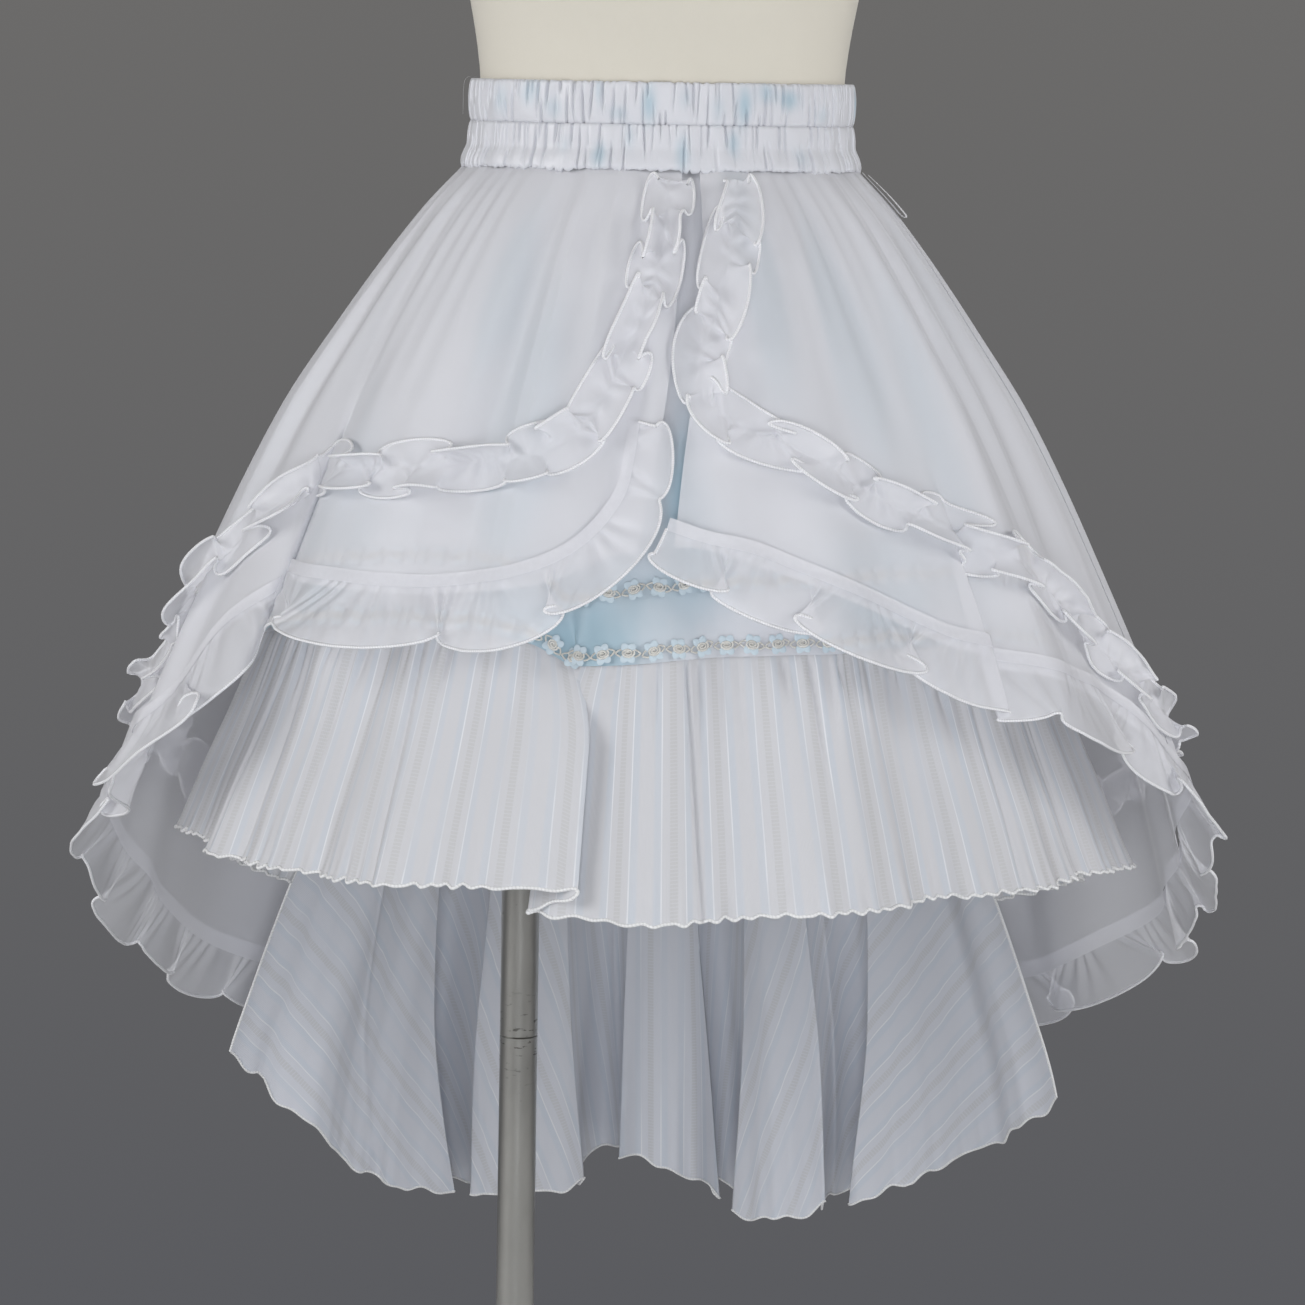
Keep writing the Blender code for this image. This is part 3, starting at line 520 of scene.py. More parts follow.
def bulges(rows: Sequence[Bulge], angle: Array) -> Array:
    """The height of broad lobes and hollows at angles in degrees."""
    away = [(seam_angle(angle) - row.angle) / row.width for row in rows]
    return sum(row.rise * np.exp(-(q**2)) for row, q in zip(rows, away))


def waist_gathers(angle: Array, drop: Array) -> Array:
    """The gathers that the overskirt and the underskirt share under the waistband.

    Args:
        angle: directions in degrees.
        drop: distances below the waistband's top edge.

    Returns:
        Heights in metres.
    """
    wide = GATHERS_WIDE(angle) * (0.0019 + 0.0022 * eased(drop, 0.06, 0.16))
    fine = GATHERS_FINE(angle) * 0.0010
    gathers = wide * (1 - 0.6 * eased(drop, 0.16, 0.32)) + fine * (1 - eased(drop, 0.07, 0.24))
    return gathers * (0.25 + 0.75 * eased(drop, SKIRT_TOP, 0.085))


def jittered(rng: np.random.Generator, count: int) -> Array:
    """Directions round the body that stray a little from even spacing."""
    return (np.arange(count) + rng.uniform(-PUCKER_JITTER, PUCKER_JITTER, count)) * 360 / count


def creases(angle: Array, below: Array, count: int, longest: float, seed: int) -> Array:
    """Narrow folds that run down from a gathered seam and fade at different lengths.

    Args:
        angle: directions in degrees.
        below: the distance below the seam.
        count: how many folds there would be all round.
        longest: how far the longest short fold runs down.
        seed: the random seed.

    Returns:
        The depth of the folds in metres.
    """
    rng = np.random.default_rng(seed)
    depth = np.zeros(np.broadcast(angle, below).shape)
    for place in jittered(rng, count):
        width, deep = rng.uniform(0.30, 1.0), rng.uniform(0.0012, 0.0040)
        slant = rng.uniform(-14.0, 14.0)
        far = 0.018 + longest * rng.random() ** 2 + 1.0 * (rng.random() < 0.18)
        away = np.abs(seam_angle(angle - place - slant * below)) / width
        groove = np.exp(-(away**1.4)) * deep * (1 - eased(below, far * 0.3, far))
        depth = np.maximum(depth, groove)
    return depth * eased(below, -0.001, 0.006)


class Loft:
    """A flared surface through half-oval sections."""

    def __init__(self, sections: Sequence[Section], tucks: Sequence[Tuck] = ()) -> None:
        """Makes a curve over the drop for each of the sections' half widths.

        Args:
            sections: the sections, from the top down.
            tucks: folds where the cloth turns back.
        """
        drops = [row.drop for row in sections]
        self.half_width = Curve(drops, [row.half_width for row in sections])
        self.front = Curve(drops, [row.front for row in sections])
        self.back = Curve(drops, [row.back for row in sections])
        self.tucks = tucks

    def relief(self, angle: Array, drop: Array) -> Array:
        """Folds on top of the plain surface, positive outwards."""
        return np.zeros(np.broadcast(angle, drop).shape)

    def turned(self, angle: Array, drop: Array) -> tuple[Array, Array]:
        """How far the tucks shift a point.

        Args:
            angle: directions in degrees.
            drop: distances below the waistband's top edge.

        Returns:
            The shifts round the body in degrees and outwards in metres.
        """
        shift = np.zeros(np.broadcast(angle, drop).shape)
        depth = np.zeros_like(shift)
        for tuck in self.tucks:
            grown = eased(drop, tuck.start, tuck.full)
            q = (seam_angle(angle) - tuck.angle) / tuck.width
            swing = q * np.exp(-(q**2))
            shift -= tuck.overlap * grown * swing
            depth -= tuck.depth * grown * (swing + 0.5 * np.exp(-(q**2)))
        return shift, depth

    def points(self, angle: Array, drop: Array, outward: Array = 0.0) -> Array:
        """Places on the surface.

        Args:
            angle: directions in degrees.
            drop: distances below the waistband's top edge.
            outward: how far the places lie outside the surface.

        Returns:
            An array whose last axis holds x, y and z.
        """
        angle, drop = np.broadcast_arrays(np.asarray(angle, float), np.asarray(drop, float))
        shift, depth = self.turned(angle, drop)
        turn = np.radians(angle + shift)
        side, forward = np.sin(turn), np.cos(turn)
        width = self.half_width(drop)
        deep = np.where(forward >= 0, self.front(drop), self.back(drop))
        normal = np.stack([side / width, -forward / deep], -1)
        normal /= np.linalg.norm(normal, axis=-1, keepdims=True)
        away = (outward + depth + self.relief(angle, drop))[..., None]
        flat = np.stack([width * side, -deep * forward], -1) + normal * away
        return np.concatenate([flat, (WAIST_HEIGHT - drop)[..., None]], -1)


class SkirtLoft(Loft):
    """The underskirt's surface, which its flounce and tail carry on."""

    def __init__(self) -> None:
        """Takes the underskirt's own sections and tuck."""
        super().__init__(SKIRT_SECTIONS, SKIRT_TUCKS)

    def relief(self, angle: Array, drop: Array) -> Array:
        """Regular waves, valleys, irregular folds and the gathers at the waist.

        Args:
            angle: directions in degrees.
            drop: distances below the waistband's top edge.

        Returns:
            Heights in metres.
        """
        share = np.clip((drop - SKIRT_TOP) / (SKIRT_DROP - SKIRT_TOP), 0.0, 1.4)
        valleys = bulges(SKIRT_VALLEYS, angle) * eased(drop, 0.26, 0.48)
        folds = SKIRT_FOLDS(angle) * SKIRT_FOLD * eased(drop, 0.08, 0.26)
        return wave_depth(SKIRT_WAVE, angle, share) + valleys + folds + waist_gathers(angle, drop)


class FlounceLoft(SkirtLoft):
    """The underskirt's surface below the seam, with gathers that open towards the hem."""

    def __init__(self) -> None:
        """Adds the seam where the flounce begins."""
        super().__init__()
        self.seam = level_curve(FLOUNCE_SEAM)

    def hang(self, angle: Array, below: Array) -> Array:
        """The gathered cloth's own waves.

        Args:
            angle: directions in degrees.
            below: distances below the seam.

        Returns:
            Heights in metres.
        """
        share = np.clip(below / FLOUNCE_FALL, 0.0, 1.2)
        waves = wave_depth(FLOUNCE_WAVE, angle, share) * (0.55 + 0.45 * FLOUNCE_SWELL(angle))
        waves = waves + FLOUNCE_FOLD * np.sqrt(share) * FLOUNCE_FOLDS(angle)
        waves = waves + FLOUNCE_ROLL * share**8 * ROLL(angle)
        return waves + bulges(FLOUNCE_LOBES, angle) * eased(below, 0.0, 0.055)

    def relief(self, angle: Array, drop: Array) -> Array:
        """The underskirt's folds, carried on, with the flounce's own on top.

        Args:
            angle: directions in degrees.
            drop: distances below the waistband's top edge.

        Returns:
            Heights in metres.
        """
        below = np.maximum(drop - self.seam(seam_angle(angle)), 0.0)
        pleats = FLOUNCE_PLEAT * FLOUNCE_PLEATS(angle) * eased(below, 0.0, 0.010)
        pleats = pleats * np.exp(-below / 0.035)
        edge = eased(np.abs(np.abs(seam_angle(angle)) - TAIL_EDGE), 0.0, 5.0)
        return super().relief(angle, drop) + (self.hang(angle, below) + pleats) * edge


class TailLoft(FlounceLoft):
    """The same surface behind, where the tail swings out in larger waves."""

    def hang(self, angle: Array, below: Array) -> Array:
        """The tail's own waves.

        Args:
            angle: directions in degrees.
            below: distances below the seam.

        Returns:
            Heights in metres.
        """
        share = np.clip(below / TAIL_FALL, 0.0, 1.2)
        waves = wave_depth(TAIL_WAVE, angle, share) * (1.0 + 0.25 * TAIL_SWELL(angle))
        waves = waves + FLOUNCE_FOLD * share * TAIL_FOLDS(angle)
        return waves + TAIL_ROLL * share**6 * ROLL(angle)


class OverskirtLoft(Loft):
    """The organza overskirt's surface."""

    def __init__(self) -> None:
        """Takes the overskirt's own sections and tucks."""
        super().__init__(OVERSKIRT_SECTIONS, OVERSKIRT_TUCKS)

    def relief(self, angle: Array, drop: Array) -> Array:
        """Regular waves, irregular folds and the gathers at the waist.

        Args:
            angle: directions in degrees.
            drop: distances below the waistband's top edge.

        Returns:
            Heights in metres.
        """
        share = np.clip((drop - SKIRT_TOP) / (OVERSKIRT_DROP - SKIRT_TOP), 0.0, 1.4)
        folds = OVERSKIRT_FOLDS(angle) * OVERSKIRT_FOLD * eased(drop, 0.08, 0.22)
        return wave_depth(OVERSKIRT_WAVE, angle, share) + folds + waist_gathers(angle, drop)


def along(grid: Array, axis: int) -> Array:
    """Distance run along a grid's rows (axis 1) or columns (axis 0)."""
    steps = np.linalg.norm(np.diff(grid, axis=axis), axis=-1)
    return np.insert(np.cumsum(steps, axis=axis), 0, 0.0, axis=axis)


def quads(rows: int, columns: int, wrap_rows: bool = False, wrap_columns: bool = False) -> Array:
    """The corners of a grid's faces.

    Args:
        rows: how many rows of points the grid has.
        columns: how many columns.
        wrap_rows: whether the last row joins the first.
        wrap_columns: whether the last column joins the first.

    Returns:
        The numbers of four points for each face.
    """
    last_row, last_column = rows - (not wrap_rows), columns - (not wrap_columns)
    r, c = np.meshgrid(np.arange(last_row), np.arange(last_column), indexing="ij")
    down, right = (r + 1) % rows, (c + 1) % columns
    corners = [r * columns + c, down * columns + c, down * columns + right, r * columns + right]
    return np.stack(corners, -1).reshape(-1, 4)


def grid_mesh(name: str, grid: Array, uv: Optional[Array] = None) -> bpy.types.Object:
    """A smooth-shaded sheet of quads, closed round the body if it has no UV map.

    Args:
        name: the object's name.
        grid: places, rows by columns by 3.
        uv: flat cloth places, rows by columns by 2.

    Returns:
        The object, linked to the scene.
    """
    faces = quads(*grid.shape[:2], wrap_columns=uv is None)
    mesh = bpy.data.meshes.new(name)
    mesh.from_pydata(grid.reshape(-1, 3).tolist(), [], faces.tolist())
    if uv is not None:
        layer = mesh.uv_layers.new(name=CLOTH_MAP)
        layer.data.foreach_set("uv", uv.reshape(-1, 2)[faces.ravel()].ravel())
    return link(name, mesh)


def panel_mesh(name: str, grid: Array, gathered: float = 1.0) -> bpy.types.Object:
    """A sheet whose UV map is the run across its cloth, times its gathering, and along it."""
    return grid_mesh(name, grid, np.stack([along(grid, 1) * gathered, along(grid, 0)], -1))


def turned_rings(rings: Sequence[Sequence[float]], x: float, y: float, sides: int) -> Array:
    """A turned body's grid.

    Args:
        rings: the radius and the height of each ring.
        x: the upright axis's place from left to right.
        y: its place from front to back.
        sides: how many points a ring has.

    Returns:
        Places, rings by sides by 3.
    """
    turn = np.linspace(0.0, 2 * math.pi, sides, endpoint=False)
    side, forward = np.sin(turn), np.cos(turn)
    grid = [[x + r * side, y - r * forward, z + 0 * turn] for r, z in rings]
    return np.stack(grid).transpose(0, 2, 1)


def link(name: str, mesh: bpy.types.Mesh) -> bpy.types.Object:
    """Links a mesh to the scene with smooth shading.

    Args:
        name: the object's name.
        mesh: its mesh.

    Returns:
        The object.
    """
    mesh.shade_smooth()
    made = bpy.data.objects.new(name, mesh)
    bpy.context.scene.collection.objects.link(made)
    return made


def tube_points(path: Array, radius: float, sides: int) -> Array:
    """Rings of points round a path.

    Args:
        path: places along the path.
        radius: the rings' radius.
        sides: how many points a ring has.

    Returns:
        Places, sides by path by 3.
    """
    tangent = np.gradient(path, axis=0)
    tangent /= np.linalg.norm(tangent, axis=1, keepdims=True) + 1e-12
    lean = np.array([0.0, 0.0, 0.4])
    out = path * np.array([1.0, 1.0, 0.0])
    out = out / (np.linalg.norm(out, axis=1, keepdims=True) + 1e-9) + lean
    side = np.cross(tangent, out)
    side /= np.linalg.norm(side, axis=1, keepdims=True) + 1e-12
    up = np.cross(side, tangent)
    turns = 2 * math.pi * np.arange(sides) / sides
    return np.stack([path + radius * (math.cos(a) * side + math.sin(a) * up) for a in turns])


def tube(name: str, paths: Sequence[Array], radius: float, sides: int = 6) -> bpy.types.Object:
    """Cords of one thickness, with their run in the UV map.

    Args:
        name: the object's name.
        paths: places along each cord.
        radius: the cords' radius.
        sides: how many sides they have.

    Returns:
        The cords as one object.
    """
    verts: list[Array] = []
    faces: list[Array] = []
    uvs: list[Array] = []
    first = 0
    for path in paths:
        rings = tube_points(path, radius, sides)
        corners = quads(sides, len(path), wrap_rows=True)
        run = along(path[None], 1)[0]
        flat = np.stack(np.broadcast_arrays(run[None, :], np.arange(sides)[:, None] / sides), -1)
        verts.append(rings.reshape(-1, 3))
        uvs.append(flat.reshape(-1, 2)[corners.ravel()])
        faces.append(corners + first)
        first += sides * len(path)
    mesh = bpy.data.meshes.new(name)
    mesh.from_pydata(np.concatenate(verts).tolist(), [], np.concatenate(faces).tolist())
    layer = mesh.uv_layers.new(name=CLOTH_MAP)
    layer.data.foreach_set("uv", np.concatenate(uvs).ravel())
    return link(name, mesh)


class Shade:
    """Builds one node material round a Principled shader."""

    def __init__(self, name: str) -> None:
        """Makes the material with its Principled shader.

        Args:
            name: the material's name.
        """
        self.material = bpy.data.materials.new(name)
        self.material.use_nodes = True
        self.tree = self.material.node_tree
        self.shader = self.tree.nodes["Principled BSDF"]

    def set(self, **values: object) -> "Shade":
        """Sets the shader's own sockets, with underscores for the spaces in their names."""
        for key, value in values.items():
            self.shader.inputs[key.replace("_", " ").title()].default_value = value
        return self

    def node(self, kind: str, **settings: object) -> bpy.types.Node:
        """Adds a node.

        Args:
            kind: the node's type.
            settings: its own properties.

        Returns:
            The node.
        """
        made = self.tree.nodes.new(kind)
        for key, value in settings.items():
            setattr(made, key, value)
        return made

    def link(self, source: object, target: object) -> None:
        """Joins an output to an input."""
        self.tree.links.new(source, target)

    def feed(self, target: object, value: object) -> None:
        """Gives an input either a number or another node's output.

        Args:
            target: the input.
            value: the number, colour or output.
        """
        if isinstance(value, bpy.types.NodeSocket):
            self.link(value, target)
        else:
            target.default_value = value

    def math(self, operation: str, a: object, b: object = 0.0) -> object:
        """One step of arithmetic.

        Args:
            operation: the name of the step.
            a: the first value.
            b: the second value.

        Returns:
            The result's socket.
        """
        made = self.node("ShaderNodeMath", operation=operation)
        self.feed(made.inputs[0], a)
        self.feed(made.inputs[1], b)
        return made.outputs[0]

    def times(self, a: object, b: object) -> object:
        """The product of two values."""
        return self.math("MULTIPLY", a, b)

    def plus(self, a: object, b: object) -> object:
        """The sum of two values."""
        return self.math("ADD", a, b)

    def distance(self, a: object, b: object) -> object:
        """How far two values lie apart."""
        return self.math("ABSOLUTE", self.math("SUBTRACT", a, b))

    def height(self) -> object:
        """The object's own z coordinate."""
        split = self.node("ShaderNodeSeparateXYZ")
        self.link(self.places(), split.inputs[0])
        return split.outputs[2]

    def ramp(self, value: object, low: float, high: float) -> object:
        """A smooth step between two values.

        Args:
            value: the value.
            low: where the step begins.
            high: where it ends.

        Returns:
            A socket that is 0 below low and 1 above high.
        """
        made = self.node("ShaderNodeMapRange", interpolation_type="SMOOTHSTEP")
        self.feed(made.inputs["Value"], value)
        made.inputs["From Min"].default_value = low
        made.inputs["From Max"].default_value = high
        return made.outputs["Result"]

    def mix(self, share: object, a: object, b: object) -> object:
        """Blends two colours.

        Args:
            share: the second colour's share.
            a: the first colour.
            b: the second colour.

        Returns:
            The blend's socket.
        """
        made = self.node("ShaderNodeMix", data_type="RGBA")
        self.feed(made.inputs["Factor"], share)
        self.feed(made.inputs[6], a if isinstance(a, bpy.types.NodeSocket) else (*a, 1.0))
        self.feed(made.inputs[7], b if isinstance(b, bpy.types.NodeSocket) else (*b, 1.0))
        return made.outputs[2]

    def places(self, stretch: Sequence[float] = (1, 1, 1)) -> object:
        """The object's own coordinates.

        Args:
            stretch: what x, y and z are multiplied by.

        Returns:
            The coordinates' socket.
        """
        coords = self.node("ShaderNodeTexCoord")
        mapping = self.node("ShaderNodeMapping")
        mapping.inputs["Scale"].default_value = stretch
        self.link(coords.outputs["Object"], mapping.inputs["Vector"])
        return mapping.outputs["Vector"]

    def cloth(self) -> tuple[object, object]:
        """The run across and along the flat cloth, in metres."""
        layer = self.node("ShaderNodeUVMap", uv_map=CLOTH_MAP)
        split = self.node("ShaderNodeSeparateXYZ")
        self.link(layer.outputs["UV"], split.inputs[0])
        return split.outputs[0], split.outputs[1]

    def noise(self, scale: float, detail: float, stretch: Sequence[float] = (1, 1, 1)) -> object:
        """Soft random values in the object's space.

        Args:
            scale: how fine they are.
            detail: how many finer layers they have.
            stretch: what x, y and z are multiplied by.

        Returns:
            The values' socket.
        """
        made = self.node("ShaderNodeTexNoise")
        made.inputs["Scale"].default_value = scale
        made.inputs["Detail"].default_value = detail
        self.link(self.places(stretch), made.inputs["Vector"])
        return made.outputs["Fac"]

    def stripe(self, run: object, pitch: float, centre: float, half: float, soft: float) -> object:
        """A stripe that repeats along a run.

        Args:
            run: the run.
            pitch: the distance between two stripes.
            centre: the stripe's middle as a share of the pitch.
            half: half the stripe's width.
            soft: the width of its soft edge.

        Returns:
            A socket that is 1 inside the stripe and 0 outside.
        """
        turns = self.math("FRACT", self.plus(self.math("DIVIDE", run, pitch), 0.5 - centre))
        away = self.times(self.distance(turns, 0.5), pitch)
        return self.math("SUBTRACT", 1.0, self.ramp(away, half, half + soft))

    def bump(self, height: object, distance: float, strength: float) -> "Shade":
        """Raises the surface by a height map.

        Args:
            height: the heights' socket.
            distance: the height of 1 in metres.
            strength: how strong it shows.

        Returns:
            This builder.
        """
        made = self.node("ShaderNodeBump")
        made.inputs["Strength"].default_value = strength
        made.inputs["Distance"].default_value = distance
        self.link(height, made.inputs["Height"])
        self.link(made.outputs["Normal"], self.shader.inputs["Normal"])
        return self

    def colour(self, value: object) -> "Shade":
        """Sets the base colour.

        Args:
            value: a colour or a socket.

        Returns:
            This builder.
        """
        socket = self.shader.inputs["Base Color"]
        self.feed(socket, value if isinstance(value, bpy.types.NodeSocket) else (*value, 1.0))
        return self


@dataclass(frozen=True)
class PrintedSatin:
    """White satin printed with soft aqua clouds."""

    slot: str = "satin_print"
    white: Triple = (0.705, 0.71, 0.75)
    aqua: Triple = (0.36, 0.52, 0.61)

    def material(self) -> bpy.types.Material:
        """Clouds of blue on white with a fine satin weave."""
        shade = Shade("printed_satin").set(roughness=0.36, sheen_weight=0.25, sheen_roughness=0.4)
        patch = shade.node("ShaderNodeAttribute", attribute_name=PRINT_CLOUD)
        drift = shade.noise(9.0, 4.0)
        streak = shade.noise(26.0, 3.0, (1.0, 1.0, 0.35))
        cloud = shade.plus(patch.outputs["Fac"], shade.times(drift, 0.55))
        cloud = shade.plus(cloud, shade.times(streak, 0.40))
        tone = shade.mix(shade.ramp(cloud, 0.46, 1.15), self.white, self.aqua)
        shade.colour(tone)
        shade.bump(shade.noise(900.0, 1.0), 0.0002, 0.25)
        return shade.material


@dataclass(frozen=True)
class StripedDobby:
    """White cotton with ladder stripes, pale blue bands and bright pinstripes, partly painted
    highlight.
    """

    name: str = "striped_dobby"
    slot: str = "striped_dobby"
    ground: Triple = (0.625, 0.625, 0.65)
    ladder: Triple = (0.50, 0.495, 0.485)
    band: Triple = (0.54, 0.60, 0.68)
    # the pinstripes: a whiter thread, brightened further with painted highlight
    pin: Triple = (0.76, 0.77, 0.80)
    pitch: float = 0.037

    def material(self) -> bpy.types.Material:
        """Stripes measured on the flat cloth, so they follow every fold."""
        shade = Shade(self.name).set(roughness=0.7, sheen_weight=0.15, sheen_roughness=0.5)
        across, run = shade.cloth()
        # a soft noise that varies the blue bands and breaks the pinstripes' painted highlight along
        # the run
        mottle = shade.noise(22.0, 3.0, (1.0, 1.0, 0.5))
        tone = self.ground
        for centre in (0.285, 0.715):
            band = shade.stripe(across, self.pitch, centre, 0.0014, 0.0026)
            share = shade.times(band, shade.times(mottle, 0.72))
            tone = shade.mix(share, tone, self.band)
        body = shade.stripe(across, self.pitch, 0.0, 0.0022, 0.0007)
        rungs = shade.stripe(run, 0.0023, 0.0, 0.0006, 0.0004)
        fill = shade.plus(0.08, shade.times(rungs, 0.30))
        tone = shade.mix(shade.times(body, fill), tone, self.ladder)
        pins_and_highlights = 0.0
        for centre in (0.22, 0.78):
            pins_and_highlights = shade.plus(pins_and_highlights, shade.stripe(across, self.pitch, centre, 0.0003, 0.0003))
        # the pinstripes' painted highlight comes and goes with the noise
        pins_and_highlights = shade.times(pins_and_highlights, shade.ramp(mottle, 0.25, 0.65))
        tone = shade.mix(pins_and_highlights, tone, self.pin)
        shade.colour(tone)
        threads = shade.stripe(across, 0.0009, 0.0, 0.0001, 0.0003)
        height = shade.plus(threads, shade.times(body, -0.8))
        shade.bump(height, 0.0002, 0.4)
        return shade.material


@dataclass(frozen=True)
class Organza:
    """Sheer crisp cloth."""

    name: str = "organza"
    slot: str = "organza"
    tint: Triple = (0.885, 0.885, 0.925)
    alpha: float = 0.66

    def material(self) -> bpy.types.Material:
        """A thin veil, brighter at a slant through its sheen."""
        shade = Shade(self.name).set(
            roughness=0.55, alpha=self.alpha, sheen_weight=0.35, sheen_roughness=0.3
        )
        shade.colour(self.tint)
        shade.bump(shade.noise(1400.0, 1.0), 0.0001, 0.2)
        return shade.material


@dataclass(frozen=True)
class Thread:
    """Twisted or overlocked thread."""

    name: str
    slot: str
    tint: Triple
    pitch: float = 0.0016
    roughness: float = 0.6

    def material(self) -> bpy.types.Material:
        """A cord whose turns show along its run, with painted shade in the grooves between them."""
        shade = Shade(self.name).set(roughness=self.roughness)
        run, turn = shade.cloth()
        twist = shade.plus(run, shade.times(turn, self.pitch))
        ridges = shade.stripe(twist, self.pitch, 0.0, self.pitch * 0.15, self.pitch * 0.3)
        # the darker tone is painted shade in the grooves between the turns
        dark = tuple(value * 0.90 for value in self.tint)
        shade.colour(shade.mix(ridges, dark, self.tint))
        shade.bump(ridges, 0.0003, 0.6)
        return shade.material


@dataclass(frozen=True)
class FormCover:
    """Cream jersey stretched over a smooth shell."""

    slot: str = "form_cover"
    cream: Triple = (0.74, 0.70, 0.61)

    def material(self) -> bpy.types.Material:
        """Fine knit and the slight unevenness of a used form."""
        shade = Shade("form_cover").set(roughness=0.8, sheen_weight=0.2)
        mottle = tuple(value * 0.93 for value in self.cream)
        shade.colour(shade.mix(shade.ramp(shade.noise(5.0, 3.0), 0.3, 0.75), self.cream, mottle))
        shade.bump(shade.noise(1100.0, 2.0, (1, 1, 0.6)), 0.0003, 0.35)
        return shade.material


@dataclass(frozen=True)
class Steel:
    """Satin stainless steel."""

    name: str = "satin_steel"
    slot: str = "steel"
    tone: Triple = (0.56, 0.555, 0.53)
    worn_at: Optional[float] = None  # the height of a scratched joint

    def material(self) -> bpy.types.Material:
        """Fine scratches run round, with faint marks along and dark ones at a joint."""
        shade = Shade(self.name).set(metallic=1.0, roughness=0.3)
        marks = shade.noise(40.0, 4.0, (1, 1, 0.4))
        dark = tuple(value * 0.8 for value in self.tone)
        tone = shade.mix(shade.ramp(marks, 0.35, 0.8), self.tone, dark)
        if self.worn_at is not None:
            away = shade.distance(shade.height(), self.worn_at)
            near = shade.math("SUBTRACT", 1.0, shade.ramp(away, 0.0, 0.045))
            scratch = shade.ramp(shade.noise(120.0, 6.0, (1.0, 1.0, 3.5)), 0.60, 0.66)
            fleck = shade.ramp(shade.noise(60.0, 2.0, (1.0, 1.0, 1.6)), 0.70, 0.74)
            mottle = shade.plus(shade.times(scratch, near), fleck)
            tone = shade.mix(shade.times(mottle, 0.75), tone, (0.10, 0.095, 0.085))
        shade.colour(tone)
        rough = shade.plus(0.26, shade.times(marks, 0.14))
        shade.link(rough, shade.shader.inputs["Roughness"])
        shade.bump(shade.noise(700.0, 1.0, (0.2, 0.2, 6.0)), 0.0001, 0.3)
        return shade.material


@dataclass(frozen=True)
class Plain:
    """An even finish with a faint grain."""

    name: str
    slot: str
    tint: Triple
    roughness: float = 0.8
    alpha: float = 1.0

    def material(self) -> bpy.types.Material:
        """The tint with a faint grain."""
        shade = Shade(self.name).set(roughness=self.roughness, alpha=self.alpha)
        dark = tuple(value * 0.92 for value in self.tint)
        shade.colour(shade.mix(shade.noise(300.0, 2.0), self.tint, dark))
        return shade.material


class Palette:
    """Every finish, each made once."""

    def __init__(self) -> None:
        """Starts with no finish made."""
        self.made: dict["Finish", bpy.types.Material] = {}

    def dress(self, piece: bpy.types.Object, *finishes: "Finish") -> bpy.types.Object:
        """Gives a piece its finishes and, for a new piece, its place in the frame.

        Args:
            piece: the object.
            finishes: one finish for each material slot, the main one first.

        Returns:
            The same object.
        """
        for finish in finishes:
            if finish not in self.made:
                self.made[finish] = finish.value.material()
        if "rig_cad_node" in piece:
            for held in piece.material_slots:
                held.material = self.made[finishes[0]]
            return piece
        for finish in finishes:
            piece.data.materials.append(self.made[finish])
        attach(piece, BODY)
        log.info("%s in %s", piece.name, finishes[0].value.slot)
        return piece


class Finish(Enum):
    """Every finish of the skirt, the form and the stand."""

    SATIN = PrintedSatin()
    DOBBY = StripedDobby()
    # the same dobby for the tail, its ground bluer and a little lighter as painted shade of the
    # skirt's hollow
    PAINTED_SHADE_DOBBY = StripedDobby("painted_shade_dobby", ground=(0.635, 0.65, 0.705))
    ORGANZA = Organza()
    FRILL = Organza("frill_organza", "frill_organza", (0.88, 0.88, 0.92), 0.58)
    TAPE = Plain("heading_tape", "frill_organza", (0.84, 0.84, 0.885), 0.7, 0.74)
    EDGE = Thread("merrowed_edge", "frill_organza", (0.90, 0.90, 0.925))
    OVERLOCK = Thread("overlock", "striped_dobby", (0.86, 0.86, 0.865), 0.0022)
    BRAID_CORD = Thread("braid_cord", "flower_braid", (0.95, 0.93, 0.88), 0.0012, 0.4)
    PETAL = Plain("petal", "flower_braid", (0.60, 0.70, 0.77), 0.5)
    RIBBON = Plain("ribbon", "ribbon", (0.80, 0.80, 0.83), 0.45)
    FORM = FormCover()
    STEEL = Steel()
    WORN_STEEL = Steel("worn_steel", worn_at=POLE_JOINT)


def declare(piece: bpy.types.Object, node: str, **sheet: Sequence[object]) -> None:
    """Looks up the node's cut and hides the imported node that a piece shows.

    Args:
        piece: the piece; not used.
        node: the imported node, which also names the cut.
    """
    cut = CUTS[node]
    if cut.area:
        sheet["area"] = cut.area
    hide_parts(node)


@dataclass
class DressForm:
    """The limbless torso, smooth and seamed."""

    columns: int = 128
    rows: int = 110
    seams: tuple[float, ...] = (0, 90, -90, 180, 38, -38)

    def build(self) -> bpy.types.Object:
        """The torso as one closed shell with fine seams down it."""
        loft = Loft(FORM_SECTIONS)
        top, bottom = FORM_SECTIONS[0].drop, FORM_SECTIONS[-1].drop
        angle = np.linspace(0.0, 360.0, self.columns, endpoint=False)[None, :]
        drop = np.linspace(top, bottom, self.rows)[:, None]
        seams = sum(np.exp(-((seam_angle(angle - at) / 0.9) ** 2)) for at in self.seams)
        grid = loft.points(angle, drop, -0.0006 * seams)
        caps = []
        for row, level in ((grid[0], top), (grid[-1], bottom)):
            middle = row.mean(0)
            middle[2] = WAIST_HEIGHT - level
            caps.append([middle + (row - middle) * share for share in (0.001, 0.6, 0.97)])
        grid = np.concatenate([np.array(caps[0]), grid, np.array(caps[1])[::-1]])
        return grid_mesh("form_cover", grid)

    def dress(self, palette: Palette, piece: bpy.types.Object) -> None:
        """Covers the form in cream jersey."""
        palette.dress(piece, Finish.FORM)
        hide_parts("form_torso")


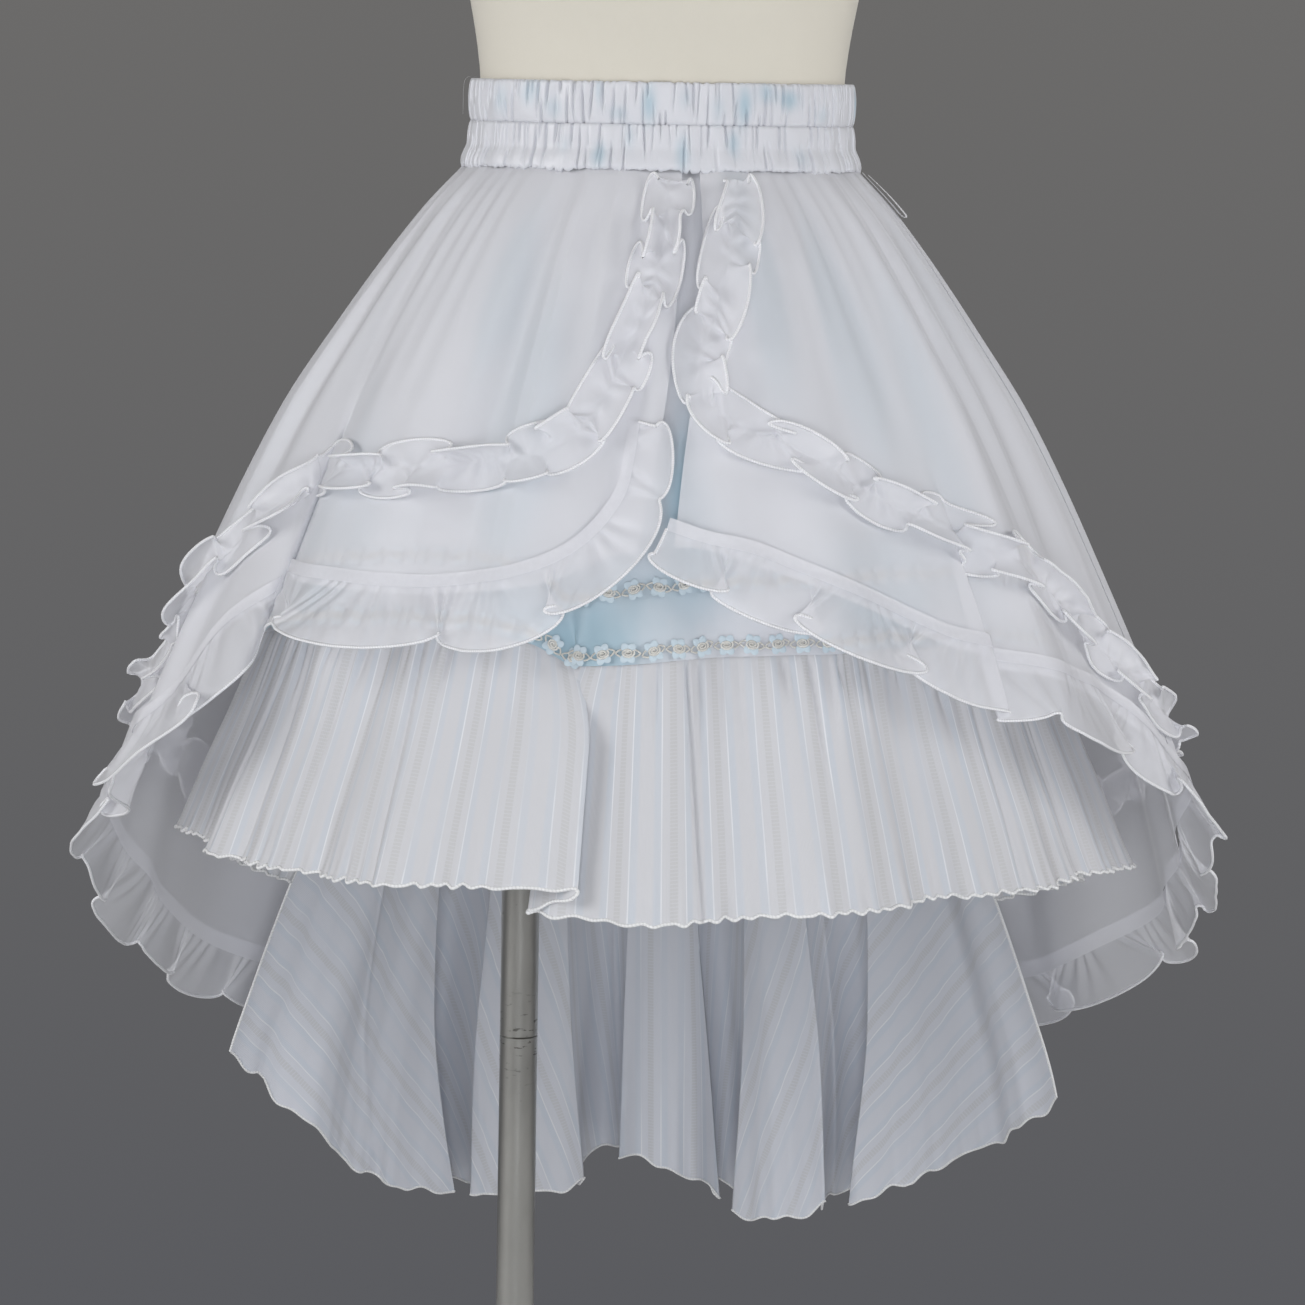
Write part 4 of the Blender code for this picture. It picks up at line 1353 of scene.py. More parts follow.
@dataclass
class Pole:
    """The two lengths of round tube that carry the form."""

    x: float = -0.084
    radius: float = 0.0125
    bottom: float = 0.0336
    top: float = 0.7464
    chamfer: float = 0.0005

    def build(self) -> dict[str, bpy.types.Object]:
        """Both lengths, closed, with a fine chamfer at each end."""
        made = {}
        ends = {
            "pole_lower": (self.bottom, POLE_JOINT),
            "pole_upper": (POLE_JOINT + SEAM_GAP, self.top),
        }
        for node, (low, high) in ends.items():
            inset = self.radius - self.chamfer
            rings = [(0.0002, low), (inset, low), (self.radius, low + self.chamfer)]
            rings += [(self.radius, high - self.chamfer), (inset, high), (0.0002, high)]
            made[node] = grid_mesh(node + "_tube", turned_rings(rings, self.x, 0.0, 72))
            made[node].data.set_sharp_from_angle(angle=math.radians(30.0))
        return made

    def dress(self, palette: Palette, made: dict[str, bpy.types.Object]) -> None:
        """Gives the tubes their worn satin steel.

        Args:
            palette: the finishes.
            made: the two tubes by their nodes.
        """
        for node, piece in made.items():
            palette.dress(piece, Finish.WORN_STEEL)
            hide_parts(node)


@dataclass
class Waistband:
    """Two shirred casings."""

    columns: int = 1500
    rows: int = 15
    gathers: int = 170
    thickness: float = 0.0054  # of both layers and the elastic
    puffing: float = 0.0014
    turned_in: float = 0.0012
    flaring: float = 0.0056  # how far the lower casing opens over the skirt
    level: float = 0.028  # the drop of the form's section that both casings follow

    def build(self) -> list[bpy.types.Object]:
        """Each casing's outer layer, puffed between its edges and turned in to the form."""
        loft = Loft(FORM_SECTIONS)
        angle = np.linspace(0.0, 360.0, self.columns, endpoint=False)[None, :]
        pieces = []
        for index, name in enumerate(LOOP_ON):
            slow = Ripple(34, 50 + index)(angle)
            share = np.linspace(0.0, 1.0, self.rows)[:, None]
            puff = np.sin(math.pi * share) ** 0.55
            ridge = 0.0009 * slow * puff - self.puckers(angle, share, 60 + index)
            flare = index * self.flaring * eased(share, 0.5, 1.0)
            outer = CASING_EASE + self.thickness + self.puffing * puff + ridge + flare
            edge = 0.0008 * Ripple(90, 70 + index)(angle) + 0.0006 * slow
            ragged = np.abs(edge) * (1 - puff) * (share < 0.5) * (index == 0)
            down = CASING_HEIGHT * share + ragged
            if index:
                jags = np.abs(Ripple(58, 81)(angle)) + 0.5 * np.abs(Ripple(130, 82)(angle))
                down = down + (0.0012 + 0.0018 * jags) * eased(share, 0.7, 1.0)
            else:
                down = down + SEAM_GAP * eased(share, 0.8, 1.0)
            above = np.full((1, self.columns), CASING_EASE)
            below = outer[-1:] - self.turned_in if index else above
            rows = np.concatenate([above, outer, below])
            downs = np.concatenate([down[:1], down + 0.0 * angle, down[-1:]])
            grid = loft.points(np.broadcast_to(angle, rows.shape), self.level, rows)
            grid[..., 2] = WAIST_HEIGHT - index * (CASING_HEIGHT + SEAM_GAP) - downs
            pieces.append(grid_mesh(name + "_cloth", grid))
        return pieces

    def puckers(self, angle: Array, share: Array, seed: int) -> Array:
        """Narrow grooves that run in from the stitched edges and fade at different lengths.

        Args:
            angle: directions in degrees, one row.
            share: the way down the casing from 0 to 1, one column.
            seed: the random seed.

        Returns:
            The depth of the grooves in metres.
        """
        rng = np.random.default_rng(seed)
        depth = np.zeros(np.broadcast(angle, share).shape)
        for place in jittered(rng, self.gathers):
            width, deep = rng.uniform(0.22, 0.50), rng.uniform(0.0010, 0.0030)
            slant, far = rng.uniform(-0.9, 0.9), rng.uniform(0.25, 1.3)
            start = share if rng.random() < 0.55 else 1.0 - share
            near = np.abs(seam_angle(angle - place)[0]) < 4.0
            away = seam_angle(angle[:, near] - place - slant * (share - 0.5))
            groove = np.exp(-((away / width) ** 2)) * deep * (1 - eased(start, far * 0.4, far))
            depth[:, near] = np.maximum(depth[:, near], groove)
        return depth

    def dress(self, palette: Palette, pieces: list[bpy.types.Object]) -> None:
        """Prints the casings and hides their imported nodes.

        Args:
            palette: the finishes.
            pieces: the two casings.
        """
        for piece, (node, loop) in zip(pieces, LOOP_ON.items()):
            paint_clouds(piece, BAND_CLOUDS)
            palette.dress(piece, Finish.SATIN)
            loops = [bpy.data.objects[loop + "_ribbon"]]
            declare(piece, node, rests_on=["form_cover"], with_pieces=loops)


def paint_clouds(piece: bpy.types.Object, clouds: Sequence[Cloud]) -> None:
    """Stores how blue the print is at every point of a satin piece.

    Args:
        piece: the satin piece.
        clouds: the print's patches.
    """
    count = len(piece.data.vertices)
    places = np.zeros(count * 3)
    piece.data.vertices.foreach_get("co", places)
    x, y, z = places.reshape(-1, 3).T
    angle = np.degrees(np.arctan2(x, -y))
    drop = WAIST_HEIGHT - z
    blue = np.zeros(count)
    for cloud in clouds:
        q = (seam_angle(angle - cloud.angle) / cloud.width) ** 2
        q = q + ((drop - cloud.drop) / cloud.height) ** 2
        blue += cloud.strength * CLOUD_STRENGTH * np.exp(-q)
    layer = piece.data.attributes.new(PRINT_CLOUD, "FLOAT", "POINT")
    layer.data.foreach_set("value", blue)


def flared_panel(
    name: str, loft: Loft, hem: Curve, span: tuple[float, float], columns: int, rows: int
) -> bpy.types.Object:
    """A panel from the waistband down to a hem, just short of its side seams.

    Args:
        name: the object's name.
        loft: the surface it follows.
        hem: the hem's drop over the angle.
        span: the two side seams' angles.
        columns: how many points it has across.
        rows: how many it has down.

    Returns:
        The panel.
    """
    angle = np.linspace(span[0] + PANEL_GAP, span[1] - PANEL_GAP, columns)[None, :]
    share = np.linspace(0.0, 1.0, rows)[:, None]
    drop = SKIRT_TOP + (hem(seam_angle(angle)) - SKIRT_TOP) * share
    return panel_mesh(name, loft.points(angle, drop))


@dataclass
class Underskirt:
    """Printed satin front and back panels."""

    columns: int = 300
    rows: int = 70

    def build(self) -> list[bpy.types.Object]:
        """The two panels down to the flounce seam."""
        seam = level_curve(FLOUNCE_SEAM)
        spans = {"front": (-SIDE_SEAM, SIDE_SEAM), "back": (SIDE_SEAM, 360.0 - SIDE_SEAM)}
        size = (self.columns, self.rows)
        return [
            flared_panel(f"underskirt_{part}_cloth", SkirtLoft(), seam, span, *size)
            for part, span in spans.items()
        ]

    def dress(self, palette: Palette, pieces: list[bpy.types.Object]) -> None:
        """Prints the panels and hides their imported nodes.

        Args:
            palette: the finishes.
            pieces: the two panels.
        """
        for piece, node in zip(pieces, ("underskirt_front", "underskirt_back")):
            paint_clouds(piece, CLOUDS)
            palette.dress(piece, Finish.SATIN)
            declare(piece, node, rests_on=["waistband_lower_cloth"])


@dataclass
class FlowerBraid:
    """A row of swirled rosettes with petals, sewn round the underskirt."""

    node: str
    rise: float  # how far it runs above the flounce seam
    pitch: float = 0.0155
    swirl_radius: float = 0.0007  # the cords' radii
    joining_radius: float = 0.0006
    most_tilt: float = 0.35  # in radians
    seed: int = 5
    headings: tuple[float, ...] = (58.0, 120.0, 238.0, 300.0)  # the petals', in degrees

    def build(self) -> bpy.types.Object:
        """Rosettes and the cord that joins them, along the braid's line."""
        angle = np.linspace(-180.0, 180.0, 2400)
        run = along(self.line(angle)[None], 1)[0]
        count = int(run[-1] / self.pitch)
        stations = (np.arange(count) + 0.5) * run[-1] / count
        at = np.interp(stations, run, angle)
        here = self.line(at)
        forward = self.line(at + 0.6) - here
        forward /= np.linalg.norm(forward, axis=1, keepdims=True)
        out = np.cross(self.line(at, 0.004) - here, forward)
        out /= np.linalg.norm(out, axis=1, keepdims=True)
        up = np.cross(out, forward)
        verts, faces, tones = [], [], []
        filled = 0
        shapes = self.rosette()
        rng = np.random.default_rng(self.seed)
        for i in range(count):
            tilt = rng.uniform(-self.most_tilt, self.most_tilt)
            cos, sin = math.cos(tilt), math.sin(tilt)
            axis_x = forward[i] * cos + up[i] * sin
            axis_y = up[i] * cos - forward[i] * sin
            for points, corners, tone in shapes:
                verts.append(here[i] + points @ np.stack([axis_x, axis_y, out[i]]))
                faces.append(corners + filled)
                tones.append(np.full(len(corners), tone))
                filled += len(points)
        name = self.node + "_flowers"
        mesh = bpy.data.meshes.new(name)
        mesh.from_pydata(np.concatenate(verts).tolist(), [], np.concatenate(faces).tolist())
        mesh.uv_layers.new(name=CLOTH_MAP)
        piece = link(name, mesh)
        mesh.polygons.foreach_set("material_index", np.concatenate(tones))
        return piece

    def line(self, at: Array, lower: float = 0.0) -> Array:
        """Places on the braid's line at angles in degrees, or a little lower."""
        drop = level_curve(FLOUNCE_SEAM)(at) - self.rise + lower
        return SkirtLoft().points(at, drop, BRAID_LIFT)

    def rosette(self) -> list[tuple[Array, Array, int]]:
        """One flower: a swirl of cord, two joining cords that cross and four petals.

        Returns:
            Points in the flower's own frame, faces and the material's number for each part.
        """
        turn = np.linspace(0.0, 4.2 * math.pi, 21)
        radius = 0.0008 + 0.0034 * turn / turn[-1]
        flat = [radius * np.cos(turn), 0.72 * radius * np.sin(turn)]
        swirl = np.stack([*flat, 0.0012 + 0 * turn], -1)
        run = np.linspace(-0.5, 0.5, 11) * self.pitch
        wave = np.stack([run, -0.0022 * np.sin(run / self.pitch * 2 * math.pi), 0 * run], -1)
        crossed = wave * np.array([1.0, -1.0, 1.0])
        parts = [self.cord(swirl, self.swirl_radius)]
        parts += [self.cord(joining, self.joining_radius) for joining in (wave, crossed)]
        length = 0.0012 + 0.0056 * np.array([0.0, 0.25, 0.55, 0.84, 1.0])
        width = 0.0025 * np.array([0.80, 0.98, 1.0, 0.72, 0.22])
        for heading in np.radians(self.headings):
            cos, sin = math.cos(heading), math.sin(heading)
            rows = []
            for side in (-1.0, 0.0, 1.0):
                lift = 0.0006 + 0.0005 * (1 - abs(side))
                x = length * cos - side * width * sin
                y = length * sin + side * width * cos
                rows.append(np.stack([x, y, np.full(5, lift)], -1))
            parts.append((np.concatenate(rows), quads(3, 5), 1))
        return parts

    def cord(self, path: Array, radius: float) -> tuple[Array, Array, int]:
        """A cord in the flower's own frame.

        Args:
            path: places along the cord.
            radius: its radius.

        Returns:
            Points, faces and the number of its material.
        """
        tangent = np.gradient(path, axis=0)
        tangent /= np.linalg.norm(tangent, axis=1, keepdims=True)
        up = np.array([0.0, 0.0, 1.0])
        side = np.cross(tangent, up)
        turns = 2 * math.pi * np.arange(5) / 5
        rings = [path + radius * (math.cos(a) * side + math.sin(a) * up) for a in turns]
        return np.concatenate(rings), quads(5, len(path), wrap_rows=True), 0

    def dress(self, palette: Palette, piece: bpy.types.Object) -> None:
        """Gives the cord and the petals their finishes."""
        palette.dress(piece, Finish.BRAID_CORD, Finish.PETAL)
        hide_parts(self.node)


@dataclass
class Flounce:
    """The gathered striped flounce and the long flared tail."""

    columns: int = 1500
    rows: int = 32
    measured_row: int = 28  # the row whose run round the hem spaces the stripes
    tail_columns: int = 1000
    tail_rows: int = 56
    tuck: float = 0.0014  # how far the seam lies behind the satin's surface

    def build(self) -> dict[str, bpy.types.Object]:
        """Both lengths with their overlocked hems."""
        made = {}
        seam = level_curve(FLOUNCE_SEAM)
        front_hem, tail_hem = level_curve(FLOUNCE_HEM), level_curve(TAIL_HEM)
        edge = TAIL_EDGE - PANEL_GAP
        angle = np.linspace(-edge, edge, self.columns)[None, :]
        share = np.linspace(0.0, 1.0, self.rows)[:, None]
        top = seam(angle) - SEWN_IN
        drop = top + (front_hem(angle) + FLOUNCE_ROLL * ROLL(angle) - top) * share
        below = drop - seam(angle)
        inward = self.tucked(below) - creases(angle, below, count=160, longest=0.075, seed=31)
        grid = FlounceLoft().points(angle, drop, inward)
        across = np.broadcast_to(along(grid, 1)[self.measured_row], grid.shape[:2])
        uv = np.stack([across, along(grid, 0)], -1)
        made["flounce_front_cloth"] = grid_mesh("flounce_front_cloth", grid, uv)
        made["flounce_front_edge"] = tube("flounce_front_edge", [grid[-1]], FRONT_OVERLOCK)
        cloth = np.linspace(0.0, 1.0, self.tail_columns)[None, :]
        angle = TAIL_EDGE + PANEL_GAP + (360 - 2 * TAIL_EDGE - 2 * PANEL_GAP) * cloth
        hang, back = self.tail_folds(cloth)
        share = np.linspace(0.0, 1.0, self.tail_rows)[:, None]
        line = seam(seam_angle(angle))
        ragged = TAIL_JAG * ROLL(angle) + TAIL_RAG * Ripple(90, 34)(angle)
        fall = tail_hem(hang) + ragged - line
        drop = line - SEWN_IN + (fall + SEWN_IN) * share
        below = drop - line
        grown = np.clip(below / fall, 0.0, 1.0)
        narrow = creases(angle, below, count=110, longest=0.160, seed=32)
        outward = self.tucked(below) - narrow + back * grown**1.15
        grid = TailLoft().points(angle + (hang - angle) * grown, drop, outward)
        hem = along(grid, 1)[-1]
        fan = math.radians(TAIL_FAN) * (2 * hem / hem[-1] - 1)
        radius = TAIL_INNER_RADIUS + along(grid, 0)
        uv = np.stack([radius * np.sin(fan), radius * np.cos(fan)], -1)
        made["flounce_tail_cloth"] = grid_mesh("flounce_tail_cloth", grid, uv)
        paths = [grid[:, 0], grid[-1], grid[:, -1]]
        made["flounce_tail_edge"] = tube("flounce_tail_edge", paths, TAIL_OVERLOCK)
        return made

    def tail_folds(self, cloth: Array) -> tuple[Array, Array]:
        """Where the tail's cut edge hangs.

        Args:
            cloth: shares of the cut edge, from 0 to 1.

        Returns:
            The directions in degrees and the distances outside the plain surface in metres.
        """
        bends = []
        start = TAIL_EDGE
        t, u = np.linspace(0.0, 1.0, 200), np.linspace(-1.0, 1.0, 200)
        for place, recess in enumerate(TAIL_RECESSES):
            side = start + (recess.angle - recess.mouth - start) * t
            edge = eased(np.minimum(side - TAIL_EDGE, 360 - TAIL_EDGE - side), 0.0, 8.0)
            bulge = 0.006 * np.sin(math.pi * t) ** 0.8
            bends.append(np.stack([side, -(recess.forward + bulge) * edge]))
            if recess.depth:
                after = TAIL_RECESSES[place + 1].forward
                level = -recess.forward + (recess.forward - after) * (u + 1) / 2
                hollow = level + (recess.depth - level) * (1 + np.cos(math.pi * u)) / 2
                side = recess.angle + recess.mouth * u + TAIL_UNDERCUT * np.sin(math.pi * u)
                bends.append(np.stack([side, hollow]))
            start = recess.angle + recess.mouth
        path = np.concatenate(bends, axis=1)
        steps = np.hypot(np.diff(path[0]) * TAIL_DEGREE, np.diff(path[1]))
        run = np.insert(np.cumsum(steps), 0, 0.0)
        return np.interp(cloth * run[-1], run, path[0]), np.interp(cloth * run[-1], run, path[1])

    def tucked(self, below: Array) -> Array:
        """How far the cloth lies inside the satin's surface near the seam."""
        return -self.tuck * (1 - eased(below, -0.001, 0.004))

    def dress(self, palette: Palette, made: dict[str, bpy.types.Object]) -> None:
        """Args:
            palette: the finishes.
            made: the cloths and their edges by name.
        """
        panels = ["underskirt_front_cloth", "underskirt_back_cloth"]
        # the tail's dobby carries painted shade in its bluer ground
        dobbies = {"flounce_front": Finish.DOBBY, "flounce_tail": Finish.PAINTED_SHADE_DOBBY}
        for node, dobby in dobbies.items():
            piece, edge = made[node + "_cloth"], made[node + "_edge"]
            palette.dress(piece, dobby)
            palette.dress(edge, Finish.OVERLOCK)
            declare(piece, node, rests_on=panels, with_pieces=[edge])


@dataclass
class Overskirt:
    """Sheer front panels that part at the centre, and the bustle panel."""

    rows: int = 72
    columns: int = 320
    back_columns: int = 640
    edge_level: float = 0.29  # the drop at which the front edges meet the hem

    def build(self) -> list[bpy.types.Object]:
        """The three panels."""
        loft = OverskirtLoft()
        hem = level_curve(OVERSKIRT_HEM)
        drops = [row.drop for row in FRONT_OPENING]
        pieces = []
        share = np.linspace(0.0, 1.0, self.rows)[:, None]
        for name, side in (("overskirt_left_cloth", -1), ("overskirt_right_cloth", 1)):
            edge = Curve(drops, [row.left if side < 0 else row.right for row in FRONT_OPENING])
            out = np.linspace(0.0, 1.0, self.columns)[None, :]
            end = side * (OVERSKIRT_SEAM - PANEL_GAP)
            corner = edge(self.edge_level)
            low = corner + (end - corner) * out
            drop = SKIRT_TOP + (hem(low) - SKIRT_TOP) * share
            angle = edge(drop) + (end - edge(drop)) * out
            pieces.append(panel_mesh(name, loft.points(angle, drop)))
        span = (OVERSKIRT_SEAM, 360 - OVERSKIRT_SEAM)
        size = (self.back_columns, self.rows)
        pieces.append(flared_panel("overskirt_back_cloth", loft, hem, span, *size))
        return pieces

    def dress(self, palette: Palette, pieces: list[bpy.types.Object]) -> None:
        """Veils the panels and hides their imported nodes.

        Args:
            palette: the finishes.
            pieces: the three panels.
        """
        for piece, node in zip(pieces, ("overskirt_left", "overskirt_right", "overskirt_back")):
            palette.dress(piece, Finish.ORGANZA)
            declare(piece, node, rests_on=["waistband_lower_cloth"])


@dataclass
class Frill:
    """A gathered organza strip stitched to the overskirt."""

    node: str
    left: Sequence[Stitch]
    right: Sequence[Stitch]
    both_edges: bool
    wave: float  # the length of the stitching under two lobes
    seed: int
    fullness: float = 1.7
    meander: float = 0.16
    per_wave: int = 60
    ends: float = 1.0  # the length of the lobes near the front edges, as a share of the others
    rows: int = 12
    pleat: float = 0.0012  # the heights of the fine pleats at the stitching and of the flutes
    flute: float = 0.0010
    least_height: float = 0.008

    def stitches(self, loft: Loft) -> dict[str, Array]:
        """The stitching line, evenly sampled.

        Args:
            loft: the surface it lies on.

        Returns:
            Each of a stitch's fields along the line, with s (the run), waves (the number of lobe
            pairs), per_degree (metres round the body for one degree), turn and fall (the line's
            direction).
        """
        line = list(self.left)
        line += [row._replace(angle=row.angle - 360.0) for row in reversed(self.right[:-1])]
        places = loft.points([row.angle for row in line], [row.drop for row in line])
        run = along(places[None], 1)[0]
        waves = int(run[-1] / self.wave)
        s = np.linspace(0.0, run[-1], waves * self.per_wave)
        fields = {name: Curve(run, [getattr(r, name) for r in line])(s) for name in Stitch._fields}
        angle, drop = fields["angle"], fields["drop"]
        span = loft.points(angle + 1.5, drop) - loft.points(angle - 1.5, drop)
        per_degree = np.linalg.norm(span, axis=-1) / 3.0
        smooth = np.ones(25) / 25
        per_degree = np.convolve(np.pad(per_degree, 12, mode="edge"), smooth, mode="valid")
        turn = np.gradient(angle, s) * per_degree
        fall = np.gradient(drop, s)
        size = np.hypot(turn, fall)
        fields.update(turn=turn / size, fall=fall / size)
        return fields | {"s": s, "waves": waves, "per_degree": per_degree}

    def lobes(self, s: Array, waves: int, seed: int) -> dict[str, Array]:
        """The lobes along the run, turn about behind and in front, each of its own length.

        Args:
            s: distances along the stitching.
            waves: how many pairs of lobes there are.
            seed: the random seed.

        Returns:
            phase (0 in the middle of a lobe that lies behind, pi in one that stands in front),
            lift, fold, lean and size, each along the run.
        """
        rng = np.random.default_rng(seed)
        count = 2 * waves
        away = np.abs((np.arange(count) + 0.5) / count - 0.5)
        lengths = rng.uniform(0.55, 1.5, count) * (1 + (self.ends - 1) * eased(away, 0.41, 0.46))
        bounds = np.concatenate([[0.0], np.cumsum(lengths)])
        bounds *= s[-1] / bounds[-1]
        middles = (bounds[1:] + bounds[:-1]) / 2
        return {
            "phase": math.pi * (Curve(bounds, np.arange(count + 1))(s) - 0.5),
            "lift": np.clip(Curve(middles, rng.uniform(0.55, 1.1, count))(s), 0.4, 1.2),
            "fold": np.clip(Curve(bounds, rng.uniform(0.55, 1.2, count + 1))(s), 0.4, 1.3),
            "lean": np.clip(Curve(middles, rng.uniform(-1.0, 1.0, count))(s), -1.0, 1.0),
            "size": np.clip(Curve(middles, rng.uniform(0.88, 1.08, count))(s), 0.8, 1.1),
        }

    def half(self, loft: Loft, line: dict[str, Array], side: int, seed: int) -> Array:
        """The cloth on one side of the stitching, from the stitching to the edge.

        The strip keeps its width: where a lobe stands out, its edge draws in towards the stitching,
        and at the folds between lobes it draws in further, so each lobe ends in a rounded edge.

        Args:
            loft: the surface it lies on.
            line: the stitching line.
            side: 1 for the cloth above the line and -1 for the cloth below it.
            seed: the random seed.

        Returns:
            Places, rows by columns by 3.
        """
        s = line["s"]
        lobes = self.lobes(s, line["waves"], seed)
        phase = lobes["phase"]
        back = self.meander * lobes["fold"] * 2 * math.pi / np.maximum(np.gradient(phase, s), 1.0)
        height = np.maximum(line["height"], self.least_height)
        lift = self.fullness * height * lobes["lift"] * (0.5 - 0.5 * np.cos(phase))
        slide = back * np.sin(2 * phase) + 0.6 * lobes["lean"] * lift
        drawn = 0.60 * back * np.sin(phase) ** 2
        pinch = 0.82 + 0.18 * eased(np.minimum(s, s[-1] - s), 0.0, 0.030)
        pleat = np.sin(500 * s + 2.2 * np.sin(76 * s) + 1.4 * np.sin(170 * s))
        flute = np.sin(230 * s + 1.9 * np.sin(61 * s)) * (0.6 + 0.4 * np.sin(33 * s))
        rows = []
        for share in np.linspace(0.0, 1.0, self.rows):
            rise, drift = lift * share**1.4, slide * share**1.15
            width = line["reach"] * pinch * lobes["size"] * share
            flat = np.sqrt(np.maximum(width**2 - rise**2, (0.5 * width) ** 2))
            reach = side * np.maximum(flat - drawn * share, 0.45 * width)
            step_turn = (drift * line["turn"] - reach * line["fall"]) / line["per_degree"]
            step_fall = drift * line["fall"] + reach * line["turn"]
            gather = self.pleat * pleat * share / 0.25 * math.exp(1 - share / 0.25)
            gather = gather + self.flute * flute * share
            out = FRILL_LIFT + line["lift"] + rise + gather
            rows.append(loft.points(line["angle"] + step_turn, line["drop"] + step_fall, out))
        return np.array(rows)

    def build(self) -> dict[str, bpy.types.Object]:
        """The strip, its merrowed edges and, on a headed frill, its tape."""
        loft = OverskirtLoft()
        line = self.stitches(loft)
        outer = self.half(loft, line, -1, self.seed)
        paths = [outer[-1]]
        made = {}
        if self.both_edges:
            inner = self.half(loft, line, 1, self.seed + 100)
            grid = np.concatenate([inner[::-1], outer[1:]])
            paths.append(inner[-1])
        else:
            grid = outer
            paths += [grid[:, 0], grid[:, -1]]
            tape = []
            for across in np.linspace(HEADING, -0.0006, 5):
                step = -across * line["fall"] / line["per_degree"]
                out = FRILL_LIFT + line["lift"] + 0.0006
                fall = line["drop"] + across * line["turn"]
                tape.append(loft.points(line["angle"] + step, fall, out))
            made["tape"] = panel_mesh(self.node + "_heading", np.array(tape)[:, ::-1])
        made["cloth"] = panel_mesh(self.node + "_cloth", grid[:, ::-1], FRILL_GATHERING)
        made["edge"] = tube(self.node + "_edge", paths, CORD_RADIUS, 5)
        return made

    def dress(self, palette: Palette, made: dict[str, bpy.types.Object]) -> None:
        """Finishes the frill and hides its imported node.

        Args:
            palette: the finishes.
            made: the cloth, its edge and perhaps its tape.
        """
        palette.dress(made["cloth"], Finish.FRILL)
        palette.dress(made["edge"], Finish.EDGE)
        extras = [made["edge"]]
        if "tape" in made:
            palette.dress(made["tape"], Finish.TAPE)
            extras.append(made["tape"])
        panels = ["overskirt_left_cloth", "overskirt_right_cloth", "overskirt_back_cloth"]
        declare(made["cloth"], self.node, rests_on=panels, with_pieces=extras)


@dataclass
class HangerLoop:
    """A narrow ribbon loop at the waist."""

    node: str
    surface: Loft
    angle: float
    path: Sequence[LoopBend]

    def build(self) -> bpy.types.Object:
        """The ribbon along its bends."""
        steps = np.arange(len(self.path))
        fine = np.linspace(0, steps[-1], 40)
        drop = Curve(steps, [bend.drop for bend in self.path])(fine)[:, None]
        out = Curve(steps, [bend.outward for bend in self.path])(fine)[:, None]
        middle = self.surface.points(self.angle, self.path[0].drop)
        half = math.degrees(LOOP_WIDTH / 2 / math.hypot(middle[0], middle[1]))
        angle = self.angle + half * np.linspace(-1, 1, 5)[None, :]
        grid = self.surface.points(angle, drop, out + 0 * angle)
        return panel_mesh(self.node + "_ribbon", grid)

    def dress(self, palette: Palette, piece: bpy.types.Object) -> None:
        """Gives the ribbon its finish."""
        palette.dress(piece, Finish.RIBBON)
        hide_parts(self.node)


